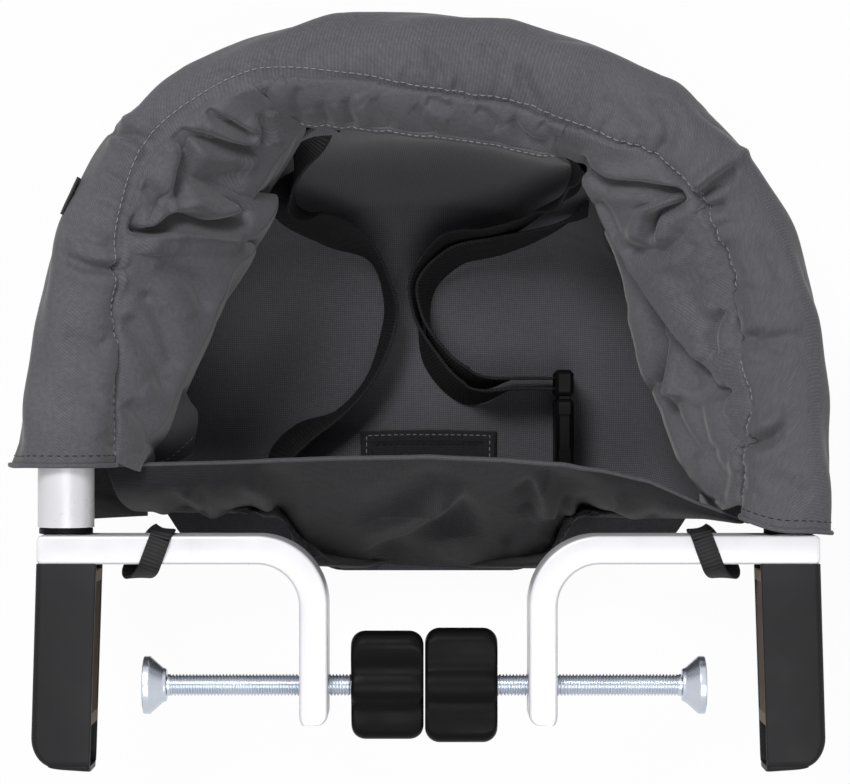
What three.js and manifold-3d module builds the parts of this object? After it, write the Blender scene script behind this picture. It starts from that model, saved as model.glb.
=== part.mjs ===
// A child's seat that hangs from a table edge: a U-shaped tube with a fabric bucket seat,
// and at each tube end a swivelling clamp with a padded arm and a hand screw.
// Millimetres. +X to the right, +Y towards the seat's back, +Z up.
// The origin is midway between the clamps, on the front face of their bars, level with the tube.
// The clamps are swung inward, as the seat is stored, so the two knobs meet in the middle.

import * as THREE from 'three';
import { mergeVertices } from 'three/addons/utils/BufferGeometryUtils.js';
import Module from 'manifold-3d';

const wasm = await Module();
wasm.setup();

const { lerp, clamp: limit, smoothstep } = THREE.MathUtils;

// Clearances
const gap = 0.3;
const sewnGap = 1.3;
const overrun = 5;
const weldDistance = 0.001;

// Facet counts of rounded edges and turned pieces
const edgeSteps = 1;
const cornerFacets = 3;
const holeFacets = 12;
const turnedFacets = 24;

// Clamp: bent flat bar
const bar = {
  thickness: 12.8,
  depth: 30,
  endInset: 0.5,
  legX: 44.8,
  legLength: 71.9,
  bendInside: 19,
  edge: 1,
  endCorner: 2,
  legCorner: 6.5,
};

// Clamp: padded arm
const arm = {
  length: 92.8,
  inset: 15,
  width: 27,
  tipLean: 3,
  tipFlare: 2.2,
  straight: 77.5,
  shoulder: 12,
  endSlope: 1.3,
  depth: 30,
  wall: 2.4,
  edge: 2.2,
  tipCorner: 6,
};
const core = { thickness: 12, depth: 22, length: 70, offset: 7 };
const pad = { thickness: 4, start: 3, length: 69, ribPitch: 1.15, ribHeight: 0.7, land: 5 };

// Clamp: hand screw
const screw = {
  radius: 4.9,
  axisY: -55,
  fullLength: 125.9,
  tipRadius: 3.4,
  knobGrip: 22,
};
const foot = { radius: 13, rim: 3.3, coneRadius: 7.5, height: 10.4, socket: 8.6 };
const knob = {
  length: 32.6,
  span: 51.6,
  corner: 5.5,
  edge: 1.4,
  hubRadius: 8.4,
  wingHalf: 5.4,
  wingTipHalf: 6.2,
};
const knobNeckShare = 0.72;
const knobWaistShare = 0.96;
const knobMeetX = -1.8;
const leftKnobTurn = 0.3;

// Pivot between the tube and the clamp
const bush = { flange: 3, flangeRadius: 12, sleeve: 26, wall: 1.3 };
const spigot = { length: 74 };
const stopPin = { radius: 2.4, setback: 17 };

// U-shaped tube
const frame = {
  halfWidth: 163,
  tubeRadius: 12.7,
  tubeWall: 1.6,
  endY: bar.thickness + gap + bush.flange,
  bendY: 75,
  backY: 231,
  backDrift: -5,
};
const bendPowerShare = 2.3;
const bendFacets = 28;
const legFacets = 3;
const frameRings = 30;
const bendRingShare = 0.4;
const tubeSides = 16;

// Places across a clamp, which follow the frame's width
const armInnerX = frame.halfWidth - arm.inset;
const armOuterX = armInnerX + arm.width;
const armTipX = armOuterX + arm.tipFlare;
const barEndX = armOuterX - bar.endInset;

// Fabric casing round the tube
const casing = {
  outboard: 17.5,
  inboard: 22,
  backInboard: 33,
  rightFold: 8,
  frontFlare: 6,
  up: 17,
  down: 19,
  lift: -1,
  leftEndY: 44,
  rightEndY: 17.2,
};
const casingSides = 14;
const casingPowerShare = 2.3;
const rightFoldShare = 0.61;
const rightFoldWidthShare = 0.05;

// How much of the casing's outboard reach it has at each share of the way round.
const reachShares = [
  [0.04, 1.16], [0.06, 1.00], [0.10, 0.90], [0.15, 0.82], [0.23, 0.84], [0.28, 0.97], [0.33, 0.92],
  [0.40, 0.92], [0.47, 0.97], [0.52, 0.90], [0.57, 0.82], [0.84, 0.82], [0.90, 0.92], [0.95, 1.02],
  [1.00, 1.02],
];
const flareEndShare = 0.16;
const backStartShare = 0.8;

// Creases: share of the way round, angle share round the section, depth, half length along the tube.
const creaseShares = [
  [0.070, 0.42, 0.24, 0.020],
  [0.150, 0.45, 0.30, 0.018],
  [0.225, 0.38, 0.42, 0.017],
  [0.278, 0.44, 0.62, 0.018],
  [0.333, 0.36, 0.50, 0.017],
  [0.400, 0.44, 0.30, 0.018],
  [0.555, 0.44, 0.30, 0.018],
  [0.640, 0.38, 0.44, 0.018],
  [0.695, 0.42, 0.66, 0.018],
  [0.750, 0.38, 0.50, 0.017],
  [0.835, 0.45, 0.30, 0.018],
  [0.915, 0.42, 0.24, 0.020],
];
const creaseWidthShare = 0.13;

// Bucket under the casing
const seat = {
  baseZ: -150,
  baseFrontY: 20,
  baseBackY: 169,
  lipY: -12,
  lipSideY: 3,
  wallBulge: 7,
  cloth: 1.8,
  meshThickness: 2.4,
  shellSpace: 5,
  lobe: 5,
  leftBelly: 5,
  rightBelly: 12,
};

// Where the seams between the back's mesh and the side walls leave the casing and meet the base.
const leftSeamShares = [0.425, 0.335];
const rightSeamShares = [0.607, 0.7];
const seamHalfShare = 0.0012;
const wallEndShare = 0.004;

// Folds of the side walls, and shares of the bucket's shape
const foldCount = 2.5;
const foldLeanShare = 0.35;
const wallSinkShare = 0.4;
const foldTopShare = 0.3;
const baseWidthShare = 0.83;
const hemAngleShare = 0.61;
const shellAngleShare = 0.8;
const lipCornerShare = 0.88;
const outerWallFacets = [38, 6];
const outerBottomFacets = [14, 10];

// Front panel with the crotch tongue
const panel = {
  tongueHalf: 43,
  sideHalf: 76,
  leftHemInset: 16,
  rightHemInset: 17,
  hemZ: -19,
  middleY: 46.5,
  middleZ: -50,
  clearY: 16.6,
};

// Place along the front panel's hem, and the share that its Y there has of the middle's.
const panelHemShares = [
  [0, 0.93], [0.2, 0.95], [0.34, 0.985], [0.5, 1], [0.62, 0.97], [0.7, 0.93],
  [0.78, 0.86], [0.85, 0.76], [0.92, 0.56], [1, 0.38],
];
const panelBandShare = 0.45;
const panelTaperShare = 0.28;
const panelWaistShare = 0.9;
const panelSpreadShare = 1.3;
const panelRipples = 9;
const panelFacets = [20, 12];

// Small sewn pieces, with the facet columns and rows that they lie on
const tab = { thickness: 1.2 };
const tabColumnFacets = [6, 10];
const tabRowFacets = [14, 16];
const flap = { thickness: 1.2 };
const flapColumnFacets = [2, 5];
const flapRowFacets = [5, 7];
const tag = { thickness: 0.8 };
const tagRingFacets = [5, 6];
const tagEdgeShare = 0.12;

// Webbing
const webbing = { width: 25, thickness: 1.6, loopWidth: 10.5, loopInset: 32 };

// Belts: each place is a share of the frame's half width, of its depth and of the seat's depth above
// the base, with how far the lower edge leans to the right of the run, as a share of its drop.
const leftBeltShares = [
  [-0.385, 0.765, 0.500, 0],
  [-0.390, 0.705, 0.300, 0.4],
  [-0.270, 0.665, 0.140, 0.6],
  [-0.150, 0.600, 0.040, 0.1],
  [-0.112, 0.520, 0, 0.25],
  [-0.125, 0.450, 0, 0.25],
  [-0.180, 0.355, 0, 0.15],
  [-0.270, 0.285, 0, 0.15],
  [-0.385, 0.240, 0, 0.5],
  [-0.445, 0.190, 0, 0.6],
  [-0.400, 0.120, 0, 0.4],
  [-0.260, 0.075, 0, 0.1],
  [0.000, 0.060, 0, 0],
  [0.250, 0.080, 0, 0],
];
const rightBeltShares = [
  [0.410, 0.690, 0.190, 0],
  [0.320, 0.665, 0.160, -0.15],
  [0.210, 0.643, 0.110, -0.3],
  [0.080, 0.620, 0.050, -0.35],
  [0.000, 0.565, 0.010, -0.4],
  [-0.008, 0.500, 0, -0.15],
  [0.036, 0.410, 0, 0.35],
  [0.125, 0.362, 0, 0.4],
];
const tailShares = [
  [0.400, 0.742, 0.540, 0],
  [0.340, 0.712, 0.330, 0],
  [0.200, 0.668, 0.180, -0.2],
  [0.060, 0.645, 0.070, -0.35],
  [-0.022, 0.575, 0.015, -0.4],
  [-0.032, 0.500, 0, -0.15],
  [0.016, 0.396, 0, 0.35],
  [0.113, 0.330, 0, 0.4],
];

// Where each belt is sewn to the wall, as shares of the way round and of the drop.
const sewnShares = {
  left: [[0.462, 0.13], [0.440, 0.13]],
  right: [[0.662, 0.70]],
  tail: [[0.578, 0.13], [0.592, 0.14]],
};

// How far the last points of a folded belt lie from the buckle, as shares of its thickness.
const endShares = [2.4, 1.2, 0.1];
const foldClothShare = 0.85;
const beltFacets = { left: 54, right: 38, tail: 44 };

// Side-release buckle, on its narrow edge
const buckleXShare = 0.4086;
const buckle = {
  bodyStartY: 30,
  bodyLength: 44,
  tongueLength: 13.4,
  width: 33,
  thickness: 9,
  wall: 1.7,
  windowLength: 17,
  windowStart: 19,
  corner: 3.6,
  prong: 5.2,
  stem: 8,
  slotLength: 9,
  crossBar: 1.6,
};

const finishes = {
  silver: new THREE.MeshStandardMaterial({ color: 0xe2e0e2, roughness: 0.38, metalness: 0.35 }),
  zinc: new THREE.MeshStandardMaterial({ color: 0xc4ccd6, roughness: 0.22, metalness: 1 }),
  blackPlastic: new THREE.MeshStandardMaterial({ color: 0x38383b, roughness: 0.5, metalness: 0 }),
  gripRubber: new THREE.MeshStandardMaterial({ color: 0x5a5452, roughness: 0.8, metalness: 0 }),
  twill: new THREE.MeshStandardMaterial({ color: 0x636367, roughness: 0.85, metalness: 0 }),
  mesh: new THREE.MeshStandardMaterial({ color: 0x4c4b50, roughness: 0.9, metalness: 0 }),
  shell: new THREE.MeshStandardMaterial({ color: 0x242427, roughness: 0.8, metalness: 0 }),
  webbing: new THREE.MeshStandardMaterial({ color: 0x1c1c1d, roughness: 0.7, metalness: 0 }),
};

// Joining, cutting and mirroring

function toSolid(geometry) {
  const bare = geometry.clone();
  bare.deleteAttribute('normal');
  bare.deleteAttribute('uv');
  const welded = mergeVertices(bare, weldDistance);
  return new wasm.Manifold(new wasm.Mesh({
    numProp: 3,
    vertProperties: new Float32Array(welded.attributes.position.array),
    triVerts: new Uint32Array(welded.index.array),
  }));
}

function toGeometry(solid) {
  const result = solid.getMesh();
  const geometry = new THREE.BufferGeometry();
  geometry.setAttribute('position', new THREE.BufferAttribute(result.vertProperties, 3));
  geometry.setIndex(new THREE.BufferAttribute(result.triVerts, 1));
  return geometry;
}

function cut(geometry, ...cutters) {
  return toGeometry(cutters.reduce((left, cutter) => left.subtract(toSolid(cutter)), toSolid(geometry)));
}

function join(geometry, ...others) {
  return toGeometry(others.reduce((whole, other) => whole.add(toSolid(other)), toSolid(geometry)));
}

function common(geometry, other) {
  return toGeometry(toSolid(geometry).intersect(toSolid(other)));
}

function flipFaces(geometry) {
  const index = geometry.index.array;
  for (let i = 0; i < index.length; i += 3) [index[i + 1], index[i + 2]] = [index[i + 2], index[i + 1]];
  return geometry;
}

// The left side is the right side's mirror image.
function onSide(geometry, side) {
  if (side > 0) return geometry;
  const indexed = geometry.index ? geometry.clone() : mergeVertices(geometry, weldDistance);
  return flipFaces(indexed.scale(-1, 1, 1));
}

// Extrusions along each axis

function extrude(shape, from, length, edge = 0, curveSegments = 8) {
  const geometry = new THREE.ExtrudeGeometry(shape, {
    depth: length - 2 * edge,
    bevelEnabled: edge > 0,
    bevelThickness: edge,
    bevelSize: edge,
    bevelOffset: -edge,
    bevelSegments: edgeSteps,
    curveSegments,
  });
  return geometry.translate(0, 0, from + edge);
}

// The shape's own x and y become Y and Z, and it runs along X.
function extrudeX(shape, from, length, edge, curveSegments) {
  const turn = new THREE.Matrix4().makeBasis(
    new THREE.Vector3(0, 1, 0), new THREE.Vector3(0, 0, 1), new THREE.Vector3(1, 0, 0));
  return extrude(shape, from, length, edge, curveSegments).applyMatrix4(turn);
}

// The shape's own x and y become Z and X, and it runs along Y.
function extrudeY(shape, from, length, edge, curveSegments) {
  const turn = new THREE.Matrix4().makeBasis(
    new THREE.Vector3(0, 0, 1), new THREE.Vector3(1, 0, 0), new THREE.Vector3(0, 1, 0));
  return extrude(shape, from, length, edge, curveSegments).applyMatrix4(turn);
}

function circle(radius, x = 0, y = 0) {
  const shape = new THREE.Shape();
  shape.absarc(x, y, radius, 0, 2 * Math.PI);
  return shape;
}

function roundedBox(x0, y0, x1, y1, corner) {
  const shape = new THREE.Shape();
  shape.absarc(x1 - corner, y0 + corner, corner, -Math.PI / 2, 0);
  shape.absarc(x1 - corner, y1 - corner, corner, 0, Math.PI / 2);
  shape.absarc(x0 + corner, y1 - corner, corner, Math.PI / 2, Math.PI);
  shape.absarc(x0 + corner, y0 + corner, corner, Math.PI, 1.5 * Math.PI);
  shape.closePath();
  return shape;
}

function box(x0, y0, z0, x1, y1, z1) {
  return new THREE.BoxGeometry(x1 - x0, y1 - y0, z1 - z0)
    .translate((x0 + x1) / 2, (y0 + y1) / 2, (z0 + z1) / 2);
}

// Closed solids from grids of points

function closedSolid(points, faces) {
  const positions = new Float32Array(points.length * 3);
  points.forEach((point, i) => point.toArray(positions, i * 3));
  const geometry = new THREE.BufferGeometry();
  geometry.setAttribute('position', new THREE.BufferAttribute(positions, 3));
  geometry.setIndex(faces.flat());
  const corner = (i) => points[geometry.index.array[i]];
  let volume = 0;
  for (let i = 0; i < geometry.index.count; i += 3) {
    volume += corner(i).clone().cross(corner(i + 1)).dot(corner(i + 2));
  }
  return volume < 0 ? flipFaces(geometry) : geometry;
}

// A sheet of cloth: point(s, t) gives its middle surface for s and t from 0 to 1.
function sheet(point, columns, rows, thickness) {
  const middle = [];
  for (let j = 0; j <= rows; j++) {
    for (let i = 0; i <= columns; i++) middle.push(point(i / columns, j / rows));
  }
  const at = (i, j) => j * (columns + 1) + i;
  const place = (i, j) => middle[at(
    THREE.MathUtils.clamp(i, 0, columns), THREE.MathUtils.clamp(j, 0, rows))];
  const front = [];
  const back = [];
  for (let j = 0; j <= rows; j++) {
    for (let i = 0; i <= columns; i++) {
      const across = place(i + 1, j).clone().sub(place(i - 1, j));
      const down = place(i, j + 1).clone().sub(place(i, j - 1));
      const half = across.cross(down).normalize().multiplyScalar(thickness / 2);
      front.push(place(i, j).clone().add(half));
      back.push(place(i, j).clone().sub(half));
    }
  }
  const other = front.length;
  const faces = [];
  const quad = (a, b, c, d) => faces.push([a, b, c], [a, c, d]);
  for (let j = 0; j < rows; j++) {
    for (let i = 0; i < columns; i++) {
      quad(at(i, j), at(i + 1, j), at(i + 1, j + 1), at(i, j + 1));
      quad(other + at(i, j), other + at(i, j + 1), other + at(i + 1, j + 1), other + at(i + 1, j));
    }
  }
  const rim = (a, b) => quad(b, a, other + a, other + b);
  for (let i = 0; i < columns; i++) {
    rim(at(i, 0), at(i + 1, 0));
    rim(at(i + 1, rows), at(i, rows));
  }
  for (let j = 0; j < rows; j++) {
    rim(at(0, j + 1), at(0, j));
    rim(at(columns, j), at(columns, j + 1));
  }
  return closedSolid([...front, ...back], faces);
}

// A sleeve: outer(i, j) and inner(i, j) give points at station i and side j.
function sleeve(outer, inner, stations, sides) {
  const points = [];
  for (const surface of [outer, inner]) {
    for (let i = 0; i < stations; i++) {
      for (let j = 0; j < sides; j++) points.push(surface(i, j));
    }
  }
  const at = (i, j) => i * sides + (j % sides);
  const other = stations * sides;
  const faces = [];
  const quad = (a, b, c, d) => faces.push([a, b, c], [a, c, d]);
  for (let j = 0; j < sides; j++) {
    for (let i = 0; i + 1 < stations; i++) {
      quad(at(i, j), at(i + 1, j), at(i + 1, j + 1), at(i, j + 1));
      quad(other + at(i, j), other + at(i, j + 1), other + at(i + 1, j + 1), other + at(i + 1, j));
    }
    const last = stations - 1;
    quad(at(0, j), at(0, j + 1), other + at(0, j + 1), other + at(0, j));
    quad(at(last, j + 1), at(last, j), other + at(last, j), other + at(last, j + 1));
  }
  return closedSolid(points, faces);
}

// Flat webbing along a route: its width points along the given directions.
function strap(route, directions, width, thickness, steps) {
  const path = new THREE.CatmullRomCurve3(route, false, 'centripetal');
  const facing = new THREE.CatmullRomCurve3(directions, false, 'catmullrom');
  const points = [];
  for (let i = 0; i <= steps; i++) {
    const t = i / steps;
    const centre = path.getPoint(t);
    const along = path.getTangent(t);
    const across = facing.getPoint(t).projectOnPlane(along).setLength(width / 2);
    const through = along.cross(across).setLength(thickness / 2);
    for (const [a, b] of [[1, 1], [-1, 1], [-1, -1], [1, -1]]) {
      points.push(centre.clone().addScaledVector(across, a).addScaledVector(through, b));
    }
  }
  const faces = [];
  for (let i = 0; i < steps; i++) {
    for (let j = 0; j < 4; j++) {
      const a = 4 * i + j;
      const b = 4 * i + (j + 1) % 4;
      faces.push([a, b, b + 4], [a, b + 4, a + 4]);
    }
  }
  const end = 4 * steps;
  faces.push([0, 2, 1], [0, 3, 2], [end, end + 1, end + 2], [end, end + 2, end + 3]);
  return closedSolid(points, faces);
}

// Named meshes

function piece(name, geometry, material) {
  const mesh = new THREE.Mesh(geometry, material);
  mesh.name = name;
  return mesh;
}

// Frame

function frameCentreline() {
  const points = [];
  const drift = (y) => frame.backDrift * ((y - frame.bendY) / (frame.backY - frame.bendY)) ** 2;
  const legStep = (frame.bendY - frame.endY) / legFacets;
  for (let i = 0; i < legFacets; i++) {
    points.push(new THREE.Vector3(-frame.halfWidth, frame.endY + i * legStep, 0));
  }
  for (let i = 0; i <= bendFacets; i++) {
    const angle = Math.PI * i / bendFacets;
    const across = Math.sign(Math.cos(angle)) * Math.abs(Math.cos(angle)) ** (2 / bendPowerShare);
    const back = Math.abs(Math.sin(angle)) ** (2 / bendPowerShare);
    const reach = (frame.backY - frame.bendY) * back;
    const x = drift(frame.bendY + reach) - frame.halfWidth * across;
    points.push(new THREE.Vector3(x, frame.bendY + reach, 0));
  }
  for (let i = legFacets - 1; i >= 0; i--) {
    points.push(new THREE.Vector3(frame.halfWidth, frame.endY + i * legStep, 0));
  }
  const curve = new THREE.CatmullRomCurve3(points, false, 'centripetal');
  curve.arcLengthDivisions = 600;
  return curve;
}

const centreline = frameCentreline();
const tubeLength = centreline.getLength();

// Shares of the way round for the tube's facet rings, which lie closer together in the bends.
function ringShares() {
  const samples = 20 * frameRings;
  const weights = [0];
  for (let i = 1; i <= samples; i++) {
    const turn = centreline.getTangentAt((i - 1) / samples).angleTo(centreline.getTangentAt(i / samples));
    weights.push(weights[i - 1] + lerp(1 / samples, turn / Math.PI, bendRingShare));
  }
  const shares = [];
  for (let ring = 0; ring < frameRings; ring++) {
    shares.push(weights.findIndex((weight) => weight >= weights[samples] * ring / frameRings) / samples);
  }
  return [...shares, 1];
}

const rings = ringShares();

// How far round the tube, from 0 at the left end to 1 at the right, a leg reaches a given Y.
const leftShare = (y) => (y - frame.endY) / tubeLength;
const rightShare = (y) => 1 - (y - frame.endY) / tubeLength;

function outward(share) {
  const along = centreline.getTangentAt(limit(share, 0, 1));
  return new THREE.Vector3(-along.y, along.x, 0).normalize();
}

const spigotRadius = frame.tubeRadius - frame.tubeWall - gap - bush.wall - gap;
const bushBore = spigotRadius + gap;
const pinY = bar.thickness + spigot.length - stopPin.setback;

// The wedge of the tube wall that the stop pin needs for its quarter turn.
function stopSlot(side) {
  const margin = Math.asin((stopPin.radius + 2 * gap) / (frame.tubeRadius - frame.tubeWall));
  const reach = frame.tubeRadius + overrun;
  const wedge = new THREE.Shape();
  wedge.moveTo(0, 0);
  wedge.lineTo(reach * Math.cos(margin), -reach * Math.sin(margin));
  wedge.absarc(0, 0, reach, -margin, Math.PI / 2 + margin);
  wedge.closePath();
  const height = 2 * (stopPin.radius + gap);
  const slot = extrudeY(wedge, pinY - height / 2, height, 0, holeFacets);
  return onSide(slot.translate(frame.halfWidth, 0, 0), side);
}

// A ring of points square to the tube's centreline.
function ringPoint(share, radius, turnShare) {
  const angle = 2 * Math.PI * turnShare;
  return centreline.getPointAt(limit(share, 0, 1))
    .addScaledVector(outward(share), radius * Math.cos(angle))
    .add(new THREE.Vector3(0, 0, radius * Math.sin(angle)));
}

function frameTube() {
  const outer = (i, j) => ringPoint(rings[i], frame.tubeRadius, j / tubeSides);
  const inner = (i, j) => ringPoint(rings[i], frame.tubeRadius - frame.tubeWall, j / tubeSides);
  return cut(sleeve(outer, inner, rings.length, tubeSides), stopSlot(-1), stopSlot(1));
}

function bushProfile() {
  const liner = frame.tubeRadius - frame.tubeWall - gap;
  return [
    new THREE.Vector2(bushBore, 0),
    new THREE.Vector2(bush.flangeRadius, 0),
    new THREE.Vector2(bush.flangeRadius, bush.flange - gap),
    new THREE.Vector2(liner, bush.flange - gap),
    new THREE.Vector2(liner, bush.flange + bush.sleeve),
    new THREE.Vector2(bushBore, bush.flange + bush.sleeve),
    new THREE.Vector2(bushBore, 0),
  ];
}

function bushRing(side) {
  const geometry = new THREE.LatheGeometry(bushProfile(), turnedFacets);
  return onSide(geometry.translate(frame.halfWidth, bar.thickness + gap, 0), side);
}

// Clamp

function barSolid(side, holeX) {
  const outer = bar.bendInside + bar.thickness;
  const centreX = bar.legX + outer;
  const centreY = bar.thickness - outer;
  const shape = new THREE.Shape();
  shape.moveTo(centreX, 0);
  shape.lineTo(barEndX - bar.endCorner, 0);
  shape.absarc(barEndX - bar.endCorner, bar.endCorner, bar.endCorner, -Math.PI / 2, 0);
  shape.absarc(barEndX - bar.endCorner, bar.thickness - bar.endCorner, bar.endCorner, 0, Math.PI / 2);
  shape.lineTo(centreX, bar.thickness);
  shape.absarc(centreX, centreY, outer, Math.PI / 2, Math.PI);
  shape.lineTo(bar.legX, bar.legCorner - bar.legLength);
  shape.absarc(bar.legX + bar.legCorner, bar.legCorner - bar.legLength,
    bar.legCorner, Math.PI, 1.5 * Math.PI);
  shape.lineTo(bar.legX + bar.thickness - bar.endCorner, -bar.legLength);
  shape.absarc(bar.legX + bar.thickness - bar.endCorner, bar.endCorner - bar.legLength,
    bar.endCorner, -Math.PI / 2, 0);
  shape.lineTo(bar.legX + bar.thickness, centreY);
  shape.absarc(centreX, centreY, bar.bendInside, Math.PI, Math.PI / 2, true);
  const body = extrude(shape, -bar.depth / 2, bar.depth, bar.edge, 2 * cornerFacets);
  const hole = extrudeX(circle(screw.radius + gap, screw.axisY, 0), holeX - overrun,
    bar.thickness + 2 * overrun, 0, holeFacets);
  return onSide(cut(body, hole), side);
}

function armOutline(inset) {
  const shape = new THREE.Shape();
  const tipY = inset - arm.length;
  const inner = inset > 0 ? overrun : 0;
  shape.moveTo(armInnerX - inner, inset > 0 ? overrun : 0);
  shape.lineTo(armOuterX - inset, inset > 0 ? overrun : 0);
  shape.lineTo(armTipX - inset, -arm.straight);
  shape.quadraticCurveTo(armTipX - inset, tipY + arm.endSlope,
    armTipX - arm.shoulder - inset, tipY + arm.endSlope);
  shape.lineTo(armInnerX + arm.tipLean - inner, tipY);
  shape.closePath();
  return shape;
}

// A trough that is open towards the screw, with the pad set in its mouth.
function armShell(side) {
  const body = extrude(armOutline(0), -arm.depth / 2, arm.depth, arm.edge, 2 * cornerFacets);
  const endView = roundedBox(-arm.length, -arm.depth / 2, arm.length, arm.depth / 2, arm.tipCorner);
  const across = armTipX - armInnerX + 2 * overrun;
  const rounded = common(body, extrudeX(endView, armInnerX - overrun, across, 0, cornerFacets));
  const halfRoom = arm.depth / 2 - arm.wall;
  const room = extrude(armOutline(arm.wall), -halfRoom, 2 * halfRoom, 0, 2 * cornerFacets);
  const roomEnd = roundedBox(arm.wall - arm.length, -halfRoom, arm.length, halfRoom,
    arm.tipCorner - arm.wall);
  const roomStart = armInnerX - 2 * overrun;
  const hollow = common(room, extrudeX(roomEnd, roomStart, across + overrun, 0, cornerFacets));
  return onSide(cut(rounded, hollow), side);
}

// The arm's inner face leans outward towards the tip.
const armLean = arm.tipLean / arm.length;
const armFaceX = (y) => armInnerX - y * armLean;

function padSolid(side) {
  const ribs = Math.floor((pad.length - 2 * pad.land) / pad.ribPitch);
  const firstY = -pad.start - pad.land;
  const face = (y, depth) => [armFaceX(y) + depth, y];
  const shape = new THREE.Shape();
  shape.moveTo(...face(-pad.start, pad.thickness));
  shape.lineTo(...face(-pad.start, 0));
  shape.lineTo(...face(firstY, 0));
  for (let i = 0; i < ribs; i++) {
    shape.lineTo(...face(firstY - (i + 0.5) * pad.ribPitch, pad.ribHeight));
    shape.lineTo(...face(firstY - (i + 1) * pad.ribPitch, 0));
  }
  shape.lineTo(...face(-pad.start - pad.length, 0));
  shape.lineTo(...face(-pad.start - pad.length, pad.thickness));
  shape.closePath();
  const half = arm.depth / 2 - arm.wall - gap;
  return onSide(extrude(shape, -half, 2 * half), side);
}

function coreSolid(side) {
  const x = armInnerX + core.offset;
  const half = core.depth / 2;
  const shape = roundedBox(x, -core.length, x + core.thickness, 0, bar.endCorner);
  return onSide(extrude(shape, -half, 2 * half, bar.edge, cornerFacets), side);
}

function spigotSolid(side) {
  const body = new THREE.CylinderGeometry(spigotRadius, spigotRadius, spigot.length, turnedFacets)
    .translate(frame.halfWidth, bar.thickness + spigot.length / 2, 0);
  const hole = new THREE.CylinderGeometry(stopPin.radius + gap / 2, stopPin.radius + gap / 2,
    spigotRadius + overrun, holeFacets).rotateZ(Math.PI / 2)
    .translate(frame.halfWidth + (spigotRadius + overrun) / 2, pinY, 0);
  return onSide(cut(body, hole), side);
}

// The pin points outward at rest and turns up as the clamp swings to its working place.
function pinSolid(side) {
  const length = frame.tubeRadius - 2 * gap;
  const geometry = new THREE.CylinderGeometry(stopPin.radius, stopPin.radius, length - gap, holeFacets)
    .rotateZ(Math.PI / 2).translate(frame.halfWidth + (length + gap) / 2, pinY, 0);
  return onSide(geometry, side);
}

function strapLoop(side) {
  const top = bar.depth / 2 + gap;
  const cloth = webbing.thickness - gap / 2;
  const outline = roundedBox(-gap - cloth, -top - cloth, bar.thickness + gap + cloth, top + cloth,
    2 * webbing.thickness);
  outline.holes.push(roundedBox(-gap, -top, bar.thickness + gap, top, bar.edge));
  const start = frame.halfWidth - webbing.loopInset - webbing.loopWidth / 2;
  return onSide(extrudeX(outline, start, webbing.loopWidth, 0, 2), side);
}

// Hand screw: innerX is the outer distance of the knob's inner end from the middle plane.

function rodSolid(side, innerX) {
  const tipX = innerX + screw.fullLength - foot.height + foot.socket - gap;
  const neckX = innerX + screw.fullLength - foot.height;
  const startX = innerX + knob.length - screw.knobGrip;
  const profile = [
    new THREE.Vector2(0, startX),
    new THREE.Vector2(screw.radius, startX),
    new THREE.Vector2(screw.radius, neckX - gap),
    new THREE.Vector2(screw.tipRadius, neckX - gap),
    new THREE.Vector2(screw.tipRadius, tipX - gap),
    new THREE.Vector2(0, tipX - gap),
  ];
  const geometry = new THREE.LatheGeometry(profile, turnedFacets).rotateZ(-Math.PI / 2);
  return onSide(geometry.translate(0, screw.axisY, 0), side);
}

function footSolid(side, innerX) {
  const faceX = innerX + screw.fullLength;
  const bore = screw.tipRadius + gap;
  const profile = [
    new THREE.Vector2(0, faceX),
    new THREE.Vector2(0, faceX - foot.height + foot.socket),
    new THREE.Vector2(bore, faceX - foot.height + foot.socket),
    new THREE.Vector2(bore, faceX - foot.height),
    new THREE.Vector2(foot.coneRadius, faceX - foot.height),
    new THREE.Vector2(foot.radius, faceX - foot.rim),
    new THREE.Vector2(foot.radius, faceX),
    new THREE.Vector2(0, faceX),
  ];
  const geometry = new THREE.LatheGeometry(profile, turnedFacets).rotateZ(-Math.PI / 2);
  return onSide(geometry.translate(0, screw.axisY, 0), side);
}

// Wings of one moulding: thick at the tips, drawn in at the necks, round at the hub.
function knobSection() {
  const half = knob.span / 2;
  const tipStart = half - knob.wingTipHalf;
  const shape = new THREE.Shape();
  const meet = Math.asin(knob.wingHalf / knob.hubRadius) * knobNeckShare;
  const waist = knobWaistShare * knob.wingHalf;
  const neckX = knob.hubRadius * Math.cos(meet);
  const neckY = knob.hubRadius * Math.sin(meet);
  shape.moveTo(neckX, -neckY);
  shape.quadraticCurveTo(neckX + knob.wingHalf, -waist, tipStart, -knob.wingTipHalf);
  shape.absarc(tipStart, 0, knob.wingTipHalf, -Math.PI / 2, Math.PI / 2);
  shape.quadraticCurveTo(neckX + knob.wingHalf, waist, neckX, neckY);
  shape.absarc(0, 0, knob.hubRadius, meet, Math.PI - meet);
  shape.quadraticCurveTo(-neckX - knob.wingHalf, waist, -tipStart, knob.wingTipHalf);
  shape.absarc(-tipStart, 0, knob.wingTipHalf, Math.PI / 2, 1.5 * Math.PI);
  shape.quadraticCurveTo(-neckX - knob.wingHalf, -waist, -neckX, -neckY);
  shape.absarc(0, 0, knob.hubRadius, Math.PI + meet, 2 * Math.PI - meet);
  return shape;
}

function knobSolid(side, innerX, turn) {
  const half = knob.span / 2;
  const body = extrudeX(knobSection(), innerX, knob.length, knob.edge, cornerFacets + 1);
  const plan = extrude(roundedBox(innerX, -half, innerX + knob.length, half, knob.corner),
    -half, knob.span, 0, cornerFacets);
  const bore = extrudeX(circle(screw.radius + gap), innerX + knob.length - screw.knobGrip - gap,
    screw.knobGrip + overrun, 0, holeFacets);
  const geometry = cut(common(body, plan), bore).rotateX(turn);
  return onSide(geometry.translate(0, screw.axisY, 0), side);
}

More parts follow.
